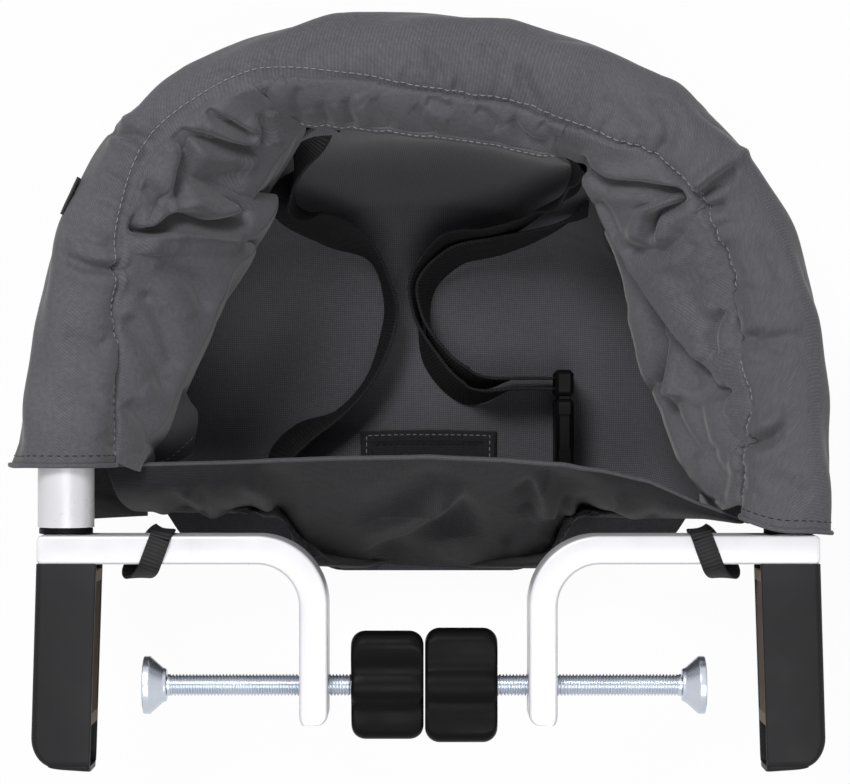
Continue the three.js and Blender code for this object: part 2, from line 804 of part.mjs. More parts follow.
function clamp(name, side) {
  const innerX = gap + side * knobMeetX;
  const turn = side < 0 ? leftKnobTurn : 0;
  const group = new THREE.Group();
  group.add(
    piece(`${name}_bar`, barSolid(side, bar.legX), finishes.silver),
    piece(`${name}_arm_core`, coreSolid(side), finishes.silver),
    piece(`${name}_arm_shell`, armShell(side), finishes.blackPlastic),
    piece(`${name}_grip_pad`, padSolid(side), finishes.gripRubber),
    piece(`${name}_spigot`, spigotSolid(side), finishes.zinc),
    piece(`${name}_stop_pin`, pinSolid(side), finishes.zinc),
    piece(`${name}_strap_loop`, strapLoop(side), finishes.webbing),
    piece(`${name}_screw`, rodSolid(side, innerX), finishes.zinc),
    piece(`${name}_knob`, knobSolid(side, innerX, turn), finishes.blackPlastic),
    piece(`${name}_foot`, footSolid(side, innerX), finishes.zinc),
  );
  return group;
}

// Casing round the tube

function creaseDepth(share, turnShare) {
  return creaseShares.reduce((sum, [place, angle, depth, length]) => {
    const along = (share - place) / length;
    const round = (turnShare - angle) / creaseWidthShare;
    return sum + depth * Math.exp(-along * along - round * round);
  }, 0);
}

// Looks up a place in a table of [place, value] rows.
function tableValue(rows, place) {
  const next = limit(rows.findIndex(([at]) => at >= place), 1, rows.length - 1);
  const [from, before] = rows[next - 1];
  const [to, after] = rows[next];
  return lerp(before, after, limit((place - from) / (to - from), 0, 1));
}

// turnShare runs from 0 outboard, over the top at a quarter, inboard at a half, and back underneath.
function casingPoint(share, turnShare) {
  const angle = 2 * Math.PI * turnShare;
  const across = Math.cos(angle);
  const up = Math.sin(angle);
  const backness = smoothstep(Math.sin(Math.PI * share), backStartShare, 1);
  const flare = casing.frontFlare * (1 - smoothstep(share, 0, flareEndShare));
  const fold = Math.exp(-(((share - rightFoldShare) / rightFoldWidthShare) ** 2));
  const inboard = lerp(casing.inboard, casing.backInboard, backness) + casing.rightFold * fold;
  const room = casing.inboard - frame.tubeRadius;
  const crease = room * creaseDepth(share, turnShare);
  const outboard = casing.outboard * tableValue(reachShares, share) + flare;
  const reach = (across > 0 ? outboard : inboard) - crease;
  const rise = (up > 0 ? casing.up : casing.down) - crease / 3;
  const power = 2 / casingPowerShare;
  const droop = across < 0 ? (inboard - casing.inboard) * Math.abs(across) ** 2 : 0;
  return centreline.getPointAt(limit(share, 0, 1))
    .addScaledVector(outward(share), reach * Math.sign(across) * Math.abs(across) ** power)
    .add(new THREE.Vector3(0, 0, casing.lift + rise * Math.sign(up) * Math.abs(up) ** power - droop));
}

const casingStart = leftShare(casing.leftEndY);
const casingEnd = rightShare(casing.rightEndY);

function rimCover() {
  const between = rings.filter((share) => share > casingStart && share < casingEnd);
  const shares = [casingStart, ...between, casingEnd];
  const bore = (frame.tubeRadius + gap) / Math.cos(Math.PI / casingSides);
  const outer = (i, j) => casingPoint(shares[i], j / casingSides);
  const inner = (i, j) => ringPoint(shares[i], bore, j / casingSides);
  return sleeve(outer, inner, shares.length, casingSides);
}

// Bucket: walls from the casing to the edge of the base

function baseEdge(share) {
  const along = limit((share - casingStart) / (casingEnd - casingStart), 0, 1);
  const above = centreline.getPointAt(along);
  const depth = (above.y - frame.endY) / (frame.backY - frame.endY);
  const y = lerp(seat.baseFrontY, seat.baseBackY, depth);
  return new THREE.Vector3(above.x * baseWidthShare, y, seat.baseZ);
}

// The seams' places, as shares of the way round.
const leftSeamShare = (drop) => lerp(...leftSeamShares, drop);
const rightSeamShare = (drop) => lerp(...rightSeamShares, drop);

// drop runs from 0 at the casing to 1 at the base.
function wallPoint(share, drop) {
  const away = outward(share);
  const top = casingPoint(share, hemAngleShare).addScaledVector(away, -sewnGap).setZ(
    casingPoint(share, hemAngleShare).z - sewnGap);
  const bottom = baseEdge(share).setZ(seat.baseZ + seat.meshThickness / 2 + seat.cloth / 2 + gap);
  const bulge = seat.wallBulge * Math.sin(Math.PI * drop) ** 2;
  return top.lerp(bottom, drop).addScaledVector(away, bulge);
}

// Leaning folds of a side wall, which fade at its ends and top and stand off its middle surface.
function foldShift(s, drop) {
  const fade = Math.sin(Math.PI * s) * smoothstep(drop, 0, foldTopShare);
  const height = Math.sin(Math.PI * (drop / 2 + 0.25));
  const wave = Math.sin(2 * Math.PI * (foldCount * s + foldLeanShare * drop));
  return seat.lobe * fade * (height * wave - wallSinkShare);
}

const gussetColumns = 20;
const gussetRows = 8;
const gussetStep = 1 / gussetRows;

// s runs from the front edge to the seam with the back; lift stands off towards the seat's inside.
function gussetPoint(side, s, t, lift) {
  const start = side < 0 ? casingStart + wallEndShare : casingEnd - wallEndShare;
  const seam = side < 0 ? leftSeamShare(t) - seamHalfShare : rightSeamShare(t) + seamHalfShare;
  const share = lerp(start, seam, s);
  const reach = side < 0 ? seat.leftBelly : seat.rightBelly;
  const belly = reach * Math.sin(Math.PI * s) ** 2 * Math.sin(Math.PI * t);
  return wallPoint(share, t).addScaledVector(outward(share), foldShift(s, t) - belly - lift);
}

function gusset(side) {
  return sheet((s, t) => gussetPoint(side, s, t, 0), gussetColumns, gussetRows, seat.cloth);
}

// Height of the base's middle surface, which sags inside its edges.
function baseHeight(x, y) {
  const across = (Math.abs(x) / (frame.halfWidth * baseWidthShare)) ** bendPowerShare;
  const back = (Math.max(0, y - frame.bendY) / (seat.baseBackY - frame.bendY)) ** bendPowerShare;
  const inside = Math.max(0, 1 - across - back);
  return seat.baseZ - seat.lobe * inside * smoothstep(y, seat.lipY, frame.bendY);
}

// The base's front edge: furthest forward at the tongue, then straight, then back to the corners.
function lipY(x) {
  const end = frame.halfWidth * baseWidthShare;
  const side = smoothstep(Math.abs(x), panel.tongueHalf, panel.sideHalf);
  const corner = smoothstep(Math.abs(x), lipCornerShare * end, end);
  return lerp(lerp(seat.lipY, seat.lipSideY, side), seat.baseFrontY, corner);
}

// Middle surface of the base, from the back row at 0 to the lip at 1, grown outward at its sides.
function basePoint(s, forward, grow) {
  const edge = (share) => baseEdge(share).addScaledVector(outward(share), grow);
  const left = edge(lerp(leftSeamShare(1), casingStart, forward));
  const right = edge(lerp(rightSeamShare(1), casingEnd, forward));
  const corners = lerp(edge(leftSeamShare(1)).y, edge(rightSeamShare(1)).y, s);
  const curve = edge(lerp(leftSeamShare(1), rightSeamShare(1), s)).y - corners;
  const x = lerp(left.x, right.x, s);
  const start = lerp(left.y, right.y, s) + (1 - forward) * curve;
  const y = start + forward * (lipY(x) - seat.baseFrontY);
  return new THREE.Vector3(x, y, baseHeight(x, y));
}

const meshColumns = 16;
const meshRows = 18;
const meshBackRows = 7;
const bottomDrop = seat.meshThickness / 2 + seat.cloth / 2 + 2 * gap;

// Back and base in one sheet: the first rows come down the back, the others run forward.
function meshPoint(s, t) {
  const row = t * meshRows;
  if (row > meshBackRows) return basePoint(s, (row - meshBackRows) / (meshRows - meshBackRows), 0);
  const drop = row / meshBackRows;
  const share = lerp(leftSeamShare(drop) + seamHalfShare, rightSeamShare(drop) - seamHalfShare, s);
  return wallPoint(share, drop).setZ(lerp(wallPoint(share, 0).z, seat.baseZ, drop));
}

function shellPoint(share, drop) {
  const away = outward(share);
  const top = casingPoint(share, shellAngleShare).add(new THREE.Vector3(0, 0, -sewnGap));
  const bottom = baseEdge(share).addScaledVector(away, seat.shellSpace)
    .setZ(seat.baseZ - bottomDrop);
  const bulge = (seat.wallBulge + seat.shellSpace) * Math.sin(Math.PI * drop);
  return top.lerp(bottom, drop).addScaledVector(away, bulge);
}

function outerWall() {
  const first = casingStart + wallEndShare;
  const last = casingEnd - wallEndShare;
  return sheet((s, t) => shellPoint(lerp(first, last, s), t), ...outerWallFacets, seat.cloth);
}

function outerBottom() {
  const grow = seat.shellSpace - seat.cloth / 2 - 2 * gap;
  const below = new THREE.Vector3(0, 0, -bottomDrop);
  return sheet((s, t) => basePoint(s, t, grow).add(below), ...outerBottomFacets, seat.cloth);
}

// Front panel: a band between the tube ends that narrows to the crotch tongue

function panelHem(s) {
  const left = panel.leftHemInset - frame.halfWidth;
  const x = lerp(left, frame.halfWidth - panel.rightHemInset, s);
  const y = panel.middleY * tableValue(panelHemShares, s);
  const z = lerp(panel.hemZ, panel.middleZ, smoothstep(Math.sin(Math.PI * s), 0, 1));
  return new THREE.Vector3(x, y, z);
}

function panelPoint(s, t) {
  const hem = panelHem(s);
  const narrowing = smoothstep(t, panelBandShare, panelBandShare + panelTaperShare);
  const band = hem.x * lerp(1, panelWaistShare, Math.min(1, t / panelBandShare));
  const x = lerp(band, panel.tongueHalf * (2 * s - 1), narrowing);
  const sides = smoothstep(Math.abs(x), panelSpreadShare * panel.tongueHalf, panel.sideHalf);
  const foot = lerp(seat.lipY + seat.cloth, panel.clearY, sides);
  const footZ = seat.baseZ + seat.meshThickness / 2 + gap + seat.cloth / 2;
  const ends = Math.sin(Math.PI * t) * Math.sin(Math.PI * s);
  const ripple = seat.cloth * Math.max(0, ends * Math.sin(panelRipples * Math.PI * s));
  const y = Math.max(lerp(hem.y, foot, t), lerp(foot, panel.clearY, sides));
  return new THREE.Vector3(x, y + ripple, lerp(hem.z, footZ, t));
}

function frontPanel() {
  return sheet(panelPoint, ...panelFacets, seat.cloth);
}

// Small sewn pieces, each on whole facets of the cloth that carries it

const facetCount = ([first, last]) => last - first;

function baseTab() {
  const lift = seat.meshThickness / 2 + tab.thickness / 2 + gap;
  const above = new THREE.Vector3(0, 0, lift);
  const point = (s, t) => {
    const across = lerp(...tabColumnFacets, s) / meshColumns;
    return meshPoint(across, lerp(...tabRowFacets, t) / meshRows).add(above);
  };
  return sheet(point, facetCount(tabColumnFacets), facetCount(tabRowFacets), tab.thickness);
}

function sideFlap() {
  const lift = seat.cloth / 2 + flap.thickness / 2 + gap;
  const point = (s, t) => gussetPoint(-1, lerp(...flapColumnFacets, s) / gussetColumns,
    lerp(...flapRowFacets, t) / gussetRows, lift);
  return sheet(point, facetCount(flapColumnFacets), facetCount(flapRowFacets), flap.thickness);
}

function sideTag() {
  const [first, last] = tagRingFacets.map((ring) => rings[ring]);
  const point = (s, t) => {
    const turn = (1 - 2 * t) / casingSides;
    const along = lerp(tagEdgeShare, 1 - tagEdgeShare, s);
    return casingPoint(first, turn).lerp(casingPoint(last, turn), along)
      .addScaledVector(outward(first), tag.thickness / 2 + gap);
  };
  return sheet(point, 2, 2, tag.thickness);
}

// Belts

const buckleX = frame.halfWidth * buckleXShare;
const bodyEndY = buckle.bodyStartY + buckle.bodyLength;
const tongueStartY = bodyEndY + gap;
const barY = tongueStartY + buckle.tongueLength / 2;
const restHeight = seat.meshThickness / 2 + gap;
const buckleZ = baseHeight(buckleX, buckle.bodyStartY) + restHeight + buckle.width / 2;
const buckleNearX = buckleX - buckle.thickness / 2;

// The webbing's turn round the tongue's cross bar, whose two ends meet the belt's two layers.
const foldInner = buckle.crossBar + gap;
const foldOuter = foldInner + foldClothShare * webbing.thickness;
const foldMiddle = (foldInner + foldOuter) / 2;

// The webbing leaves the wall where it is sewn, and nowhere lies below the base.
function belt(sewn, shares, ends, steps) {
  const lift = seat.meshThickness / 2 + webbing.thickness / 2 + 4 * gap;
  const rest = restHeight + webbing.width / 2;
  const start = sewn.map(([share, drop]) => (
    wallPoint(share, drop).addScaledVector(outward(share), -lift)));
  const middle = shares.map(([x, y, rise]) => {
    const place = new THREE.Vector3(x * frame.halfWidth, y * frame.backY, 0);
    return place.setZ(baseHeight(place.x, place.y) + rest - rise * seat.baseZ);
  });
  const places = [...start, ...middle, ...ends];
  const curve = new THREE.CatmullRomCurve3(places, false, 'centripetal');
  const directions = places.map((place, i) => {
    if (i < sewn.length) {
      const [share, drop] = sewn[i];
      return wallPoint(share, drop + gussetStep).sub(wallPoint(share, drop)).normalize();
    }
    const [, , , lean] = shares[i - sewn.length] ?? [0, 0, 0, 0];
    const along = curve.getTangent(i / (places.length - 1)).setZ(0).normalize();
    return new THREE.Vector3(along.y * lean, -along.x * lean, -1).normalize();
  });
  const route = curve.getPoints(steps).map((place) => place.setZ(
    Math.max(place.z, baseHeight(place.x, place.y) + rest)));
  return strap(route, directions, webbing.width, webbing.thickness, steps);
}

// The left belt passes through the slot of the buckle's body.
function leftBelt() {
  const y = buckle.bodyStartY + buckle.wall + gap + webbing.thickness / 2;
  const ends = [-1, 1].map((side) => new THREE.Vector3(buckleX + side * buckle.thickness, y, buckleZ));
  return belt(sewnShares.left, leftBeltShares, ends, beltFacets.left);
}

// The right belt's two layers end at the fold round the tongue's cross bar.
function foldedBelt(sewn, shares, side, steps) {
  const y = barY + side * foldMiddle;
  const ends = endShares.map((back) => new THREE.Vector3(buckleNearX - back * buckle.thickness, y, buckleZ));
  return belt(sewn, shares, ends, steps);
}

// Buckle

function buckleBody() {
  const z0 = buckleZ - buckle.width / 2;
  const z1 = buckleZ + buckle.width / 2;
  const x0 = buckleX - buckle.thickness / 2;
  const x1 = buckleX + buckle.thickness / 2;
  const w = buckle.wall;
  const outline = roundedBox(buckle.bodyStartY, z0, bodyEndY, z1, buckle.corner);
  const shell = extrudeX(outline, x0, buckle.thickness, w, 5);
  const endRoom = 2 * buckle.slotLength;
  const room = box(x0 + w, buckle.bodyStartY + endRoom, z0 + w, x1 - w, bodyEndY + overrun, z1 - w);
  const windows = box(x0 + w, buckle.bodyStartY + buckle.windowStart, z0 - overrun, x1 - w,
    buckle.bodyStartY + buckle.windowStart + buckle.windowLength, z1 + overrun);
  const slotHalf = webbing.width / 2 + gap;
  const slot = box(x0 - overrun, buckle.bodyStartY + w, buckleZ - slotHalf, x1 + overrun,
    buckle.bodyStartY + w + buckle.slotLength / 2, buckleZ + slotHalf);
  return cut(shell, room, windows, slot);
}

function buckleTongue() {
  const z0 = buckleZ - buckle.width / 2;
  const z1 = buckleZ + buckle.width / 2;
  const x0 = buckleX - buckle.thickness / 2;
  const startY = tongueStartY;
  const outline = roundedBox(startY, z0, startY + buckle.tongueLength, z1, buckle.corner);
  const head = extrudeX(outline, x0, buckle.thickness, buckle.wall, 5);
  const slotHalf = webbing.width / 2 + gap;
  const slotY = startY + (buckle.tongueLength - buckle.slotLength) / 2;
  const window = box(x0 - overrun, slotY, buckleZ - slotHalf, x0 + buckle.thickness + overrun,
    slotY + buckle.slotLength, buckleZ + slotHalf);
  const crossBar = new THREE.CylinderGeometry(
    buckle.crossBar, buckle.crossBar, 2 * slotHalf + buckle.wall, holeFacets)
    .rotateX(Math.PI / 2).translate(buckleX, barY, buckleZ);
  const half = buckle.thickness / 2 - buckle.wall - gap;
  const innerY = buckle.bodyStartY + 2 * buckle.slotLength + gap;
  const edge = buckle.width / 2 - buckle.wall - gap;
  const prong = (sign) => {
    const near = buckleZ + sign * edge;
    const far = near - sign * buckle.prong;
    return box(buckleX - half, innerY, Math.min(near, far), buckleX + half, startY + buckle.wall,
      Math.max(near, far));
  };
  const stem = box(buckleX - half, innerY + buckle.prong, buckleZ - buckle.stem / 2,
    buckleX + half, startY + buckle.wall, buckleZ + buckle.stem / 2);
  return join(cut(head, window), crossBar, prong(1), prong(-1), stem);
}

function beltFold() {
  const shape = new THREE.Shape();
  shape.moveTo(buckleNearX, barY - foldOuter);
  shape.lineTo(buckleX, barY - foldOuter);
  shape.absarc(buckleX, barY, foldOuter, -Math.PI / 2, Math.PI / 2);
  shape.lineTo(buckleNearX, barY + foldOuter);
  shape.lineTo(buckleNearX, barY + foldInner);
  shape.absarc(buckleX, barY, foldInner, Math.PI / 2, -Math.PI / 2, true);
  shape.lineTo(buckleNearX, barY - foldInner);
  shape.closePath();
  return extrude(shape, buckleZ - webbing.width / 2, webbing.width, 0, 2 * cornerFacets);
}

// The whole object

const chair = new THREE.Group();
chair.add(
  piece('frame_tube', frameTube(), finishes.silver),
  piece('left_bush', bushRing(-1), finishes.blackPlastic),
  piece('right_bush', bushRing(1), finishes.blackPlastic),
  clamp('left', -1),
  clamp('right', 1),
  piece('rim_cover', rimCover(), finishes.twill),
  piece('left_gusset', gusset(-1), finishes.twill),
  piece('right_gusset', gusset(1), finishes.twill),
  piece('mesh_liner', sheet(meshPoint, meshColumns, meshRows, seat.meshThickness), finishes.mesh),
  piece('outer_wall', outerWall(), finishes.shell),
  piece('outer_bottom', outerBottom(), finishes.shell),
  piece('front_panel', frontPanel(), finishes.shell),
  piece('base_tab', baseTab(), finishes.shell),
  piece('side_flap', sideFlap(), finishes.shell),
  piece('side_tag', sideTag(), finishes.webbing),
  piece('left_belt', leftBelt(), finishes.webbing),
  piece('right_belt', foldedBelt(sewnShares.right, rightBeltShares, 1, beltFacets.right), finishes.webbing),
  piece('belt_tail', foldedBelt(sewnShares.tail, tailShares, -1, beltFacets.tail), finishes.webbing),
  piece('buckle_body', buckleBody(), finishes.blackPlastic),
  piece('buckle_tongue', buckleTongue(), finishes.blackPlastic),
  piece('belt_fold', beltFold(), finishes.webbing),
);

export default chair;
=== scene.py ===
"""Finishes for a hook-on table seat: padded casing, cloth walls, webbing, seams, metal and mouldings.

The classes hold their sizes in millimetres in the CAD model's frame, and meshes are made in metres.
Lines that follow the product's picture are given in units of the camera's frame, 850 by 784 from its
top left corner, and Plan turns them to the seat's own millimetres.
"""

import logging
import math
from dataclasses import dataclass, field
from enum import Enum
from typing import Optional, Sequence

import bmesh
import bpy
import numpy as np
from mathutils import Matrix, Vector

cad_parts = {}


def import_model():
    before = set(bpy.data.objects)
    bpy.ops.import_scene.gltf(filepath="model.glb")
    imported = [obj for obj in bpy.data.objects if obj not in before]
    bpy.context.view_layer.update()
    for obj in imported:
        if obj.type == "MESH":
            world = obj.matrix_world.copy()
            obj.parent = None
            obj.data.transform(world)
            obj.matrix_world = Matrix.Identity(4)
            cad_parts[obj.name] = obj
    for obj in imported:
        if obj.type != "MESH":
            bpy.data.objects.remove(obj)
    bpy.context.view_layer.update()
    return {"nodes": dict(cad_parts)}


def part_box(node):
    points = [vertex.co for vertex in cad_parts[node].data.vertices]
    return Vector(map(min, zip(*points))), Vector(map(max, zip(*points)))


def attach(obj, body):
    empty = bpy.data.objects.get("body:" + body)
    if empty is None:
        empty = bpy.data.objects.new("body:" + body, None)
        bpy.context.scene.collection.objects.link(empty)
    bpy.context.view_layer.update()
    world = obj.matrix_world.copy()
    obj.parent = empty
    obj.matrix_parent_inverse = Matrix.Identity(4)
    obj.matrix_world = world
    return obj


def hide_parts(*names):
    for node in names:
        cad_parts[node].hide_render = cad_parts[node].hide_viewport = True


LOG = logging.getLogger("table_seat")
MM = 0.001
Points = Sequence[tuple[float, float]]
Array = np.ndarray
Piece = bpy.types.Object
Socket = bpy.types.NodeSocket
Tree = bpy.types.NodeTree


# Numbers and curves


def lerp(low: float, high: float, share: Array) -> Array:
    """Value at a share of the way from low to high."""
    return low + (high - low) * share


def ease(value: Array, low: float, high: float) -> Array:
    """Smooth step from 0 at low to 1 at high."""
    t = np.clip((np.asarray(value, float) - low) / (high - low), 0, 1)
    return t * t * (3 - 2 * t)


def table(value: Array, rows: Sequence[tuple[float, float]]) -> Array:
    """Straight-line look-up of value in (place, result) rows."""
    places, results = zip(*rows)
    return np.interp(value, places, results)


def smooth_path(corners: Array, steps: int) -> Array:
    """Centripetal curve through the corners.

    Args:
        corners: Points to pass through, one per row.
        steps: Number of equal parameter steps.

    Returns:
        steps + 1 points on the curve.
    """
    p = np.asarray(corners, float)
    ends = [2 * p[0] - p[1]], [2 * p[-1] - p[-2]]
    p = np.vstack([ends[0], p, ends[1]])
    count = len(p) - 3
    at = np.linspace(0, count, steps + 1)
    i = np.minimum(at.astype(int), count - 1)
    w = at - i
    p0, p1, p2, p3 = p[i], p[i + 1], p[i + 2], p[i + 3]
    pairs = ((p0, p1), (p1, p2), (p2, p3))
    span = [np.maximum(np.linalg.norm(b - a, axis=1) ** 0.5, 1e-4)[:, None] for a, b in pairs]
    t1 = ((p1 - p0) / span[0] - (p2 - p0) / (span[0] + span[1]) + (p2 - p1) / span[1]) * span[1]
    t2 = ((p2 - p1) / span[1] - (p3 - p1) / (span[1] + span[2]) + (p3 - p2) / span[2]) * span[1]
    w = w[:, None]
    return ((2 * p1 - 2 * p2 + t1 + t2) * w ** 3 + (-3 * p1 + 3 * p2 - 2 * t1 - t2) * w ** 2 + t1 * w + p1)


def unit(vectors: Array) -> Array:
    """The vectors at length one."""
    return vectors / np.maximum(np.linalg.norm(vectors, axis=-1, keepdims=True), 1e-9)


def softened(points: Array, window: int) -> Array:
    """Running mean of points along a line."""
    kernel = np.ones(window) / window
    padded = np.pad(points, ((window // 2, window // 2), (0, 0)), mode="edge")
    return np.stack([np.convolve(padded[:, k], kernel, mode="valid") for k in range(points.shape[1])], axis=1)


def sheet_shares(columns: int, rows: int) -> Sequence[Array]:
    """Shares across and down a sheet, at each of its points."""
    return np.meshgrid(np.linspace(0, 1, columns), np.linspace(0, 1, rows))


@dataclass(frozen=True)
class Plan:
    """The camera's frame and where its units lie on the seat."""

    eye_x: float = -1.5
    eye_y: float = 76.8
    eye_z: float = 1400.0
    width: float = 850.0
    height: float = 784.0
    unit_mm: float = 0.45

    def to_frame(self, points: Array) -> Array:
        """Frame units of points in millimetres."""
        scale = self.unit_mm * (self.eye_z - points[..., 2]) / self.eye_z
        across = self.width / 2 + (points[..., 0] - self.eye_x) / scale
        down = self.height / 2 - (points[..., 1] - self.eye_y) / scale
        return np.stack([across, down], axis=-1)

    def place(self, flat: Array, z: Array) -> Array:
        """Points in millimetres at heights z under places in frame units."""
        scale = self.unit_mm * (self.eye_z - z) / self.eye_z
        x = self.eye_x + (flat[..., 0] - self.width / 2) * scale
        y = self.eye_y + (self.height / 2 - flat[..., 1]) * scale
        return np.stack([x, y, z], axis=-1)


PLAN = Plan()


# Shader nodes and finishes


def linear(hex_colour: str) -> tuple[float, float, float, float]:
    """Linear RGBA of an sRGB hex colour."""
    channels = [int(hex_colour[i:i + 2], 16) / 255 for i in (1, 3, 5)]
    return (*(c / 12.92 if c <= 0.04045 else ((c + 0.055) / 1.055) ** 2.4 for c in channels), 1.0)


def add_node(tree: Tree, kind: str, inputs: Optional[dict] = None, **settings) -> bpy.types.Node:
    """Adds a shader node with its settings and links.

    Args:
        tree: Node tree it goes into.
        kind: Node type name without the word ShaderNode.
        inputs: Socket name or number to a value or another node's output.
        settings: Properties of the node.

    Returns:
        The new node.
    """
    made = tree.nodes.new(f"ShaderNode{kind}")
    for name, value in settings.items():
        setattr(made, name, value)
    for name, value in (inputs or {}).items():
        if isinstance(value, Socket):
            tree.links.new(value, made.inputs[name])
        else:
            made.inputs[name].default_value = value
    return made


def new_material(name: str) -> tuple[bpy.types.Material, Tree]:
    """An empty node material and its tree."""
    material = bpy.data.materials.new(name)
    material.use_nodes = True
    material.node_tree.nodes.clear()
    return material, material.node_tree


class Weave(Enum):
    """How a cloth's threads cross."""

    TWILL = "twill"
    PLAIN = "plain"
    NET = "net"
    RIBBED = "ribbed"


@dataclass(frozen=True)
class ClothFinish:
    """Woven synthetic cloth: dull, with a soft sheen at a glance and its threads as fine relief."""

    name: str
    colour: str
    shade: str
    weave: Weave
    pitch: float
    relief: float = 0.12
    roughness: float = 0.82
    sheen: float = 0.2
    contrast: float = 0.35
    crumple: float = 0.0

    def threads(self, tree: Tree, mm: Socket) -> Socket:
        """Thread height from 0 to 1, from slightly uneven sine stripes across the cloth.

        Args:
            tree: Node tree they go into.
            mm: Millimetre coordinate.

        Returns:
            The height's socket.
        """
        twill, ribbed = self.weave is Weave.TWILL, self.weave is Weave.RIBBED
        across = self.pitch * 0.8 if ribbed else self.pitch
        ways = {"DIAGONAL": self.pitch} if twill else {"X": self.pitch, "Y": across}
        heights = []
        for direction, pitch in ways.items():
            period = 2 * math.pi / (10 if twill else 20)
            heights.append(add_node(tree, "TexWave", {"Vector": mm, "Scale": period / pitch,
                "Distortion": 0.15, "Detail": 2.0, "Detail Scale": 0.8}, wave_type="BANDS",
                bands_direction=direction, wave_profile="SIN").outputs["Fac"])
        if twill:
            # Loose fibres blur the diagonal.
            fibre = add_node(tree, "TexNoise", {"Vector": mm, "Scale": 1.3, "Detail": 3.0})
            heights.append(fibre.outputs["Fac"])
        first, second = heights
        if twill or ribbed:
            mixed = {"Factor": 0.66 if twill else 0.2, "A": first, "B": second}
            return add_node(tree, "Mix", mixed, data_type="FLOAT").outputs["Result"]
        operation = "MULTIPLY" if self.weave is Weave.NET else "MAXIMUM"
        return add_node(tree, "Math", {0: first, 1: second}, operation=operation).outputs[0]

    def build(self) -> bpy.types.Material:
        """The cloth's material, on the millimetre UV map."""
        material, tree = new_material(self.name)
        mm = add_node(tree, "UVMap", uv_map="mm").outputs["UV"]
        position = add_node(tree, "TexCoord").outputs["Object"]
        height = self.threads(tree, mm)
        # Uneven yarn: light and dark slubs a few threads long.
        slub = add_node(tree, "TexNoise", {"Vector": mm, "Scale": 0.45, "Detail": 3.0, "Roughness": 0.6})
        # Slow change of tone over the cloth, from handling and dye.
        tone = add_node(tree, "TexNoise", {"Vector": position, "Scale": 18.0, "Detail": 3.0})
        yarn = add_node(tree, "Math", {0: height, 1: slub.outputs["Fac"]}, operation="MULTIPLY")
        amount = add_node(tree, "MapRange", {"Value": yarn.outputs[0], "From Min": 0.0, "From Max": 0.55,
            "To Min": 0.5 - self.contrast, "To Max": 0.5 + self.contrast})
        slow = add_node(tree, "MapRange", {"Value": tone.outputs["Fac"], "From Min": 0.3, "From Max": 0.7,
            "To Min": -0.12, "To Max": 0.12})
        factor = add_node(tree, "Math", {0: amount.outputs[0], 1: slow.outputs[0]}, operation="ADD",
            use_clamp=True)
        colour = add_node(tree, "Mix", {"Factor": factor.outputs[0], 6: linear(self.shade),
            7: linear(self.colour)}, data_type="RGBA")
        bump = add_node(tree, "Bump", {"Height": height, "Distance": self.relief * MM, "Strength": 0.8})
        normal = bump.outputs["Normal"]
        if self.crumple:
            # Small soft creases that cloth keeps from being folded and handled.
            creases = add_node(tree, "TexNoise", {"Vector": position, "Scale": 70.0, "Detail": 2.0,
                "Distortion": 1.2})
            normal = add_node(tree, "Bump", {"Height": creases.outputs["Fac"], "Normal": normal,
                "Distance": self.crumple * MM, "Strength": 0.6}).outputs["Normal"]
        surface = add_node(tree, "BsdfPrincipled", {"Base Color": colour.outputs[2],
            "Roughness": self.roughness, "Normal": normal, "Sheen Weight": self.sheen,
            "Sheen Roughness": 0.45, "Specular IOR Level": 0.25})
        add_node(tree, "OutputMaterial", {"Surface": surface.outputs[0]})
        return material


@dataclass(frozen=True)
class HardFinish:
    """Hard surface with a fine grain, a gloss that varies slowly and two tones."""

    name: str
    colour: str
    second: str
    roughness: float
    grain: float
    relief: float
    specular: float = 0.5
    metallic: float = 0.0
    cloud: float = 60.0
    cloud_low: float = 0.3
    duller: float = 0.07
    glossier: float = 0.05
    strength: float = 0.4

    def share(self, tree: Tree, cloud: Socket) -> Socket:
        """How much of the second tone shows: as much as the clouds give."""
        return cloud

    def build(self) -> bpy.types.Material:
        """The material, on object coordinates."""
        material, tree = new_material(self.name)
        position = add_node(tree, "TexCoord").outputs["Object"]
        grain = add_node(tree, "TexNoise", {"Vector": position, "Scale": 1000 / self.grain, "Detail": 2.0})
        cloud = add_node(tree, "TexNoise", {"Vector": position, "Scale": self.cloud,
            "Detail": 4.0}).outputs["Fac"]
        gloss = add_node(tree, "MapRange", {"Value": cloud, "From Min": self.cloud_low, "From Max": 0.7,
            "To Min": self.roughness - self.glossier, "To Max": self.roughness + self.duller})
        colour = add_node(tree, "Mix", {"Factor": self.share(tree, cloud), 6: linear(self.colour),
            7: linear(self.second)}, data_type="RGBA")
        bump = add_node(tree, "Bump", {"Height": grain.outputs["Fac"], "Distance": self.relief * MM,
            "Strength": self.strength})
        surface = add_node(tree, "BsdfPrincipled", {"Base Color": colour.outputs[2],
            "Metallic": self.metallic, "Roughness": gloss.outputs[0],
            "Normal": bump.outputs["Normal"], "Specular IOR Level": self.specular})
        add_node(tree, "OutputMaterial", {"Surface": surface.outputs[0]})
        return material


@dataclass(frozen=True)
class MouldedFinish(HardFinish):
    """Injection-moulded plastic or rubber: spark-eroded grain, and painted highlight: a paler tone on its
    convex edges.
    """

    specular: float = 0.2
    cloud: float = 45.0
    cloud_low: float = 0.35
    duller: float = 0.08
    glossier: float = 0.06
    strength: float = 0.5

    def share(self, tree: Tree, cloud: Socket) -> Socket:
        """How much of the second tone shows: all on convex edges, as painted highlight."""
        # Painted highlight: the paler second tone goes where the surface is convex, on the edges that catch
        # the light.
        edge = add_node(tree, "NewGeometry").outputs["Pointiness"]
        return add_node(tree, "MapRange", {"Value": edge, "From Min": 0.52, "From Max": 0.62}).outputs[0]


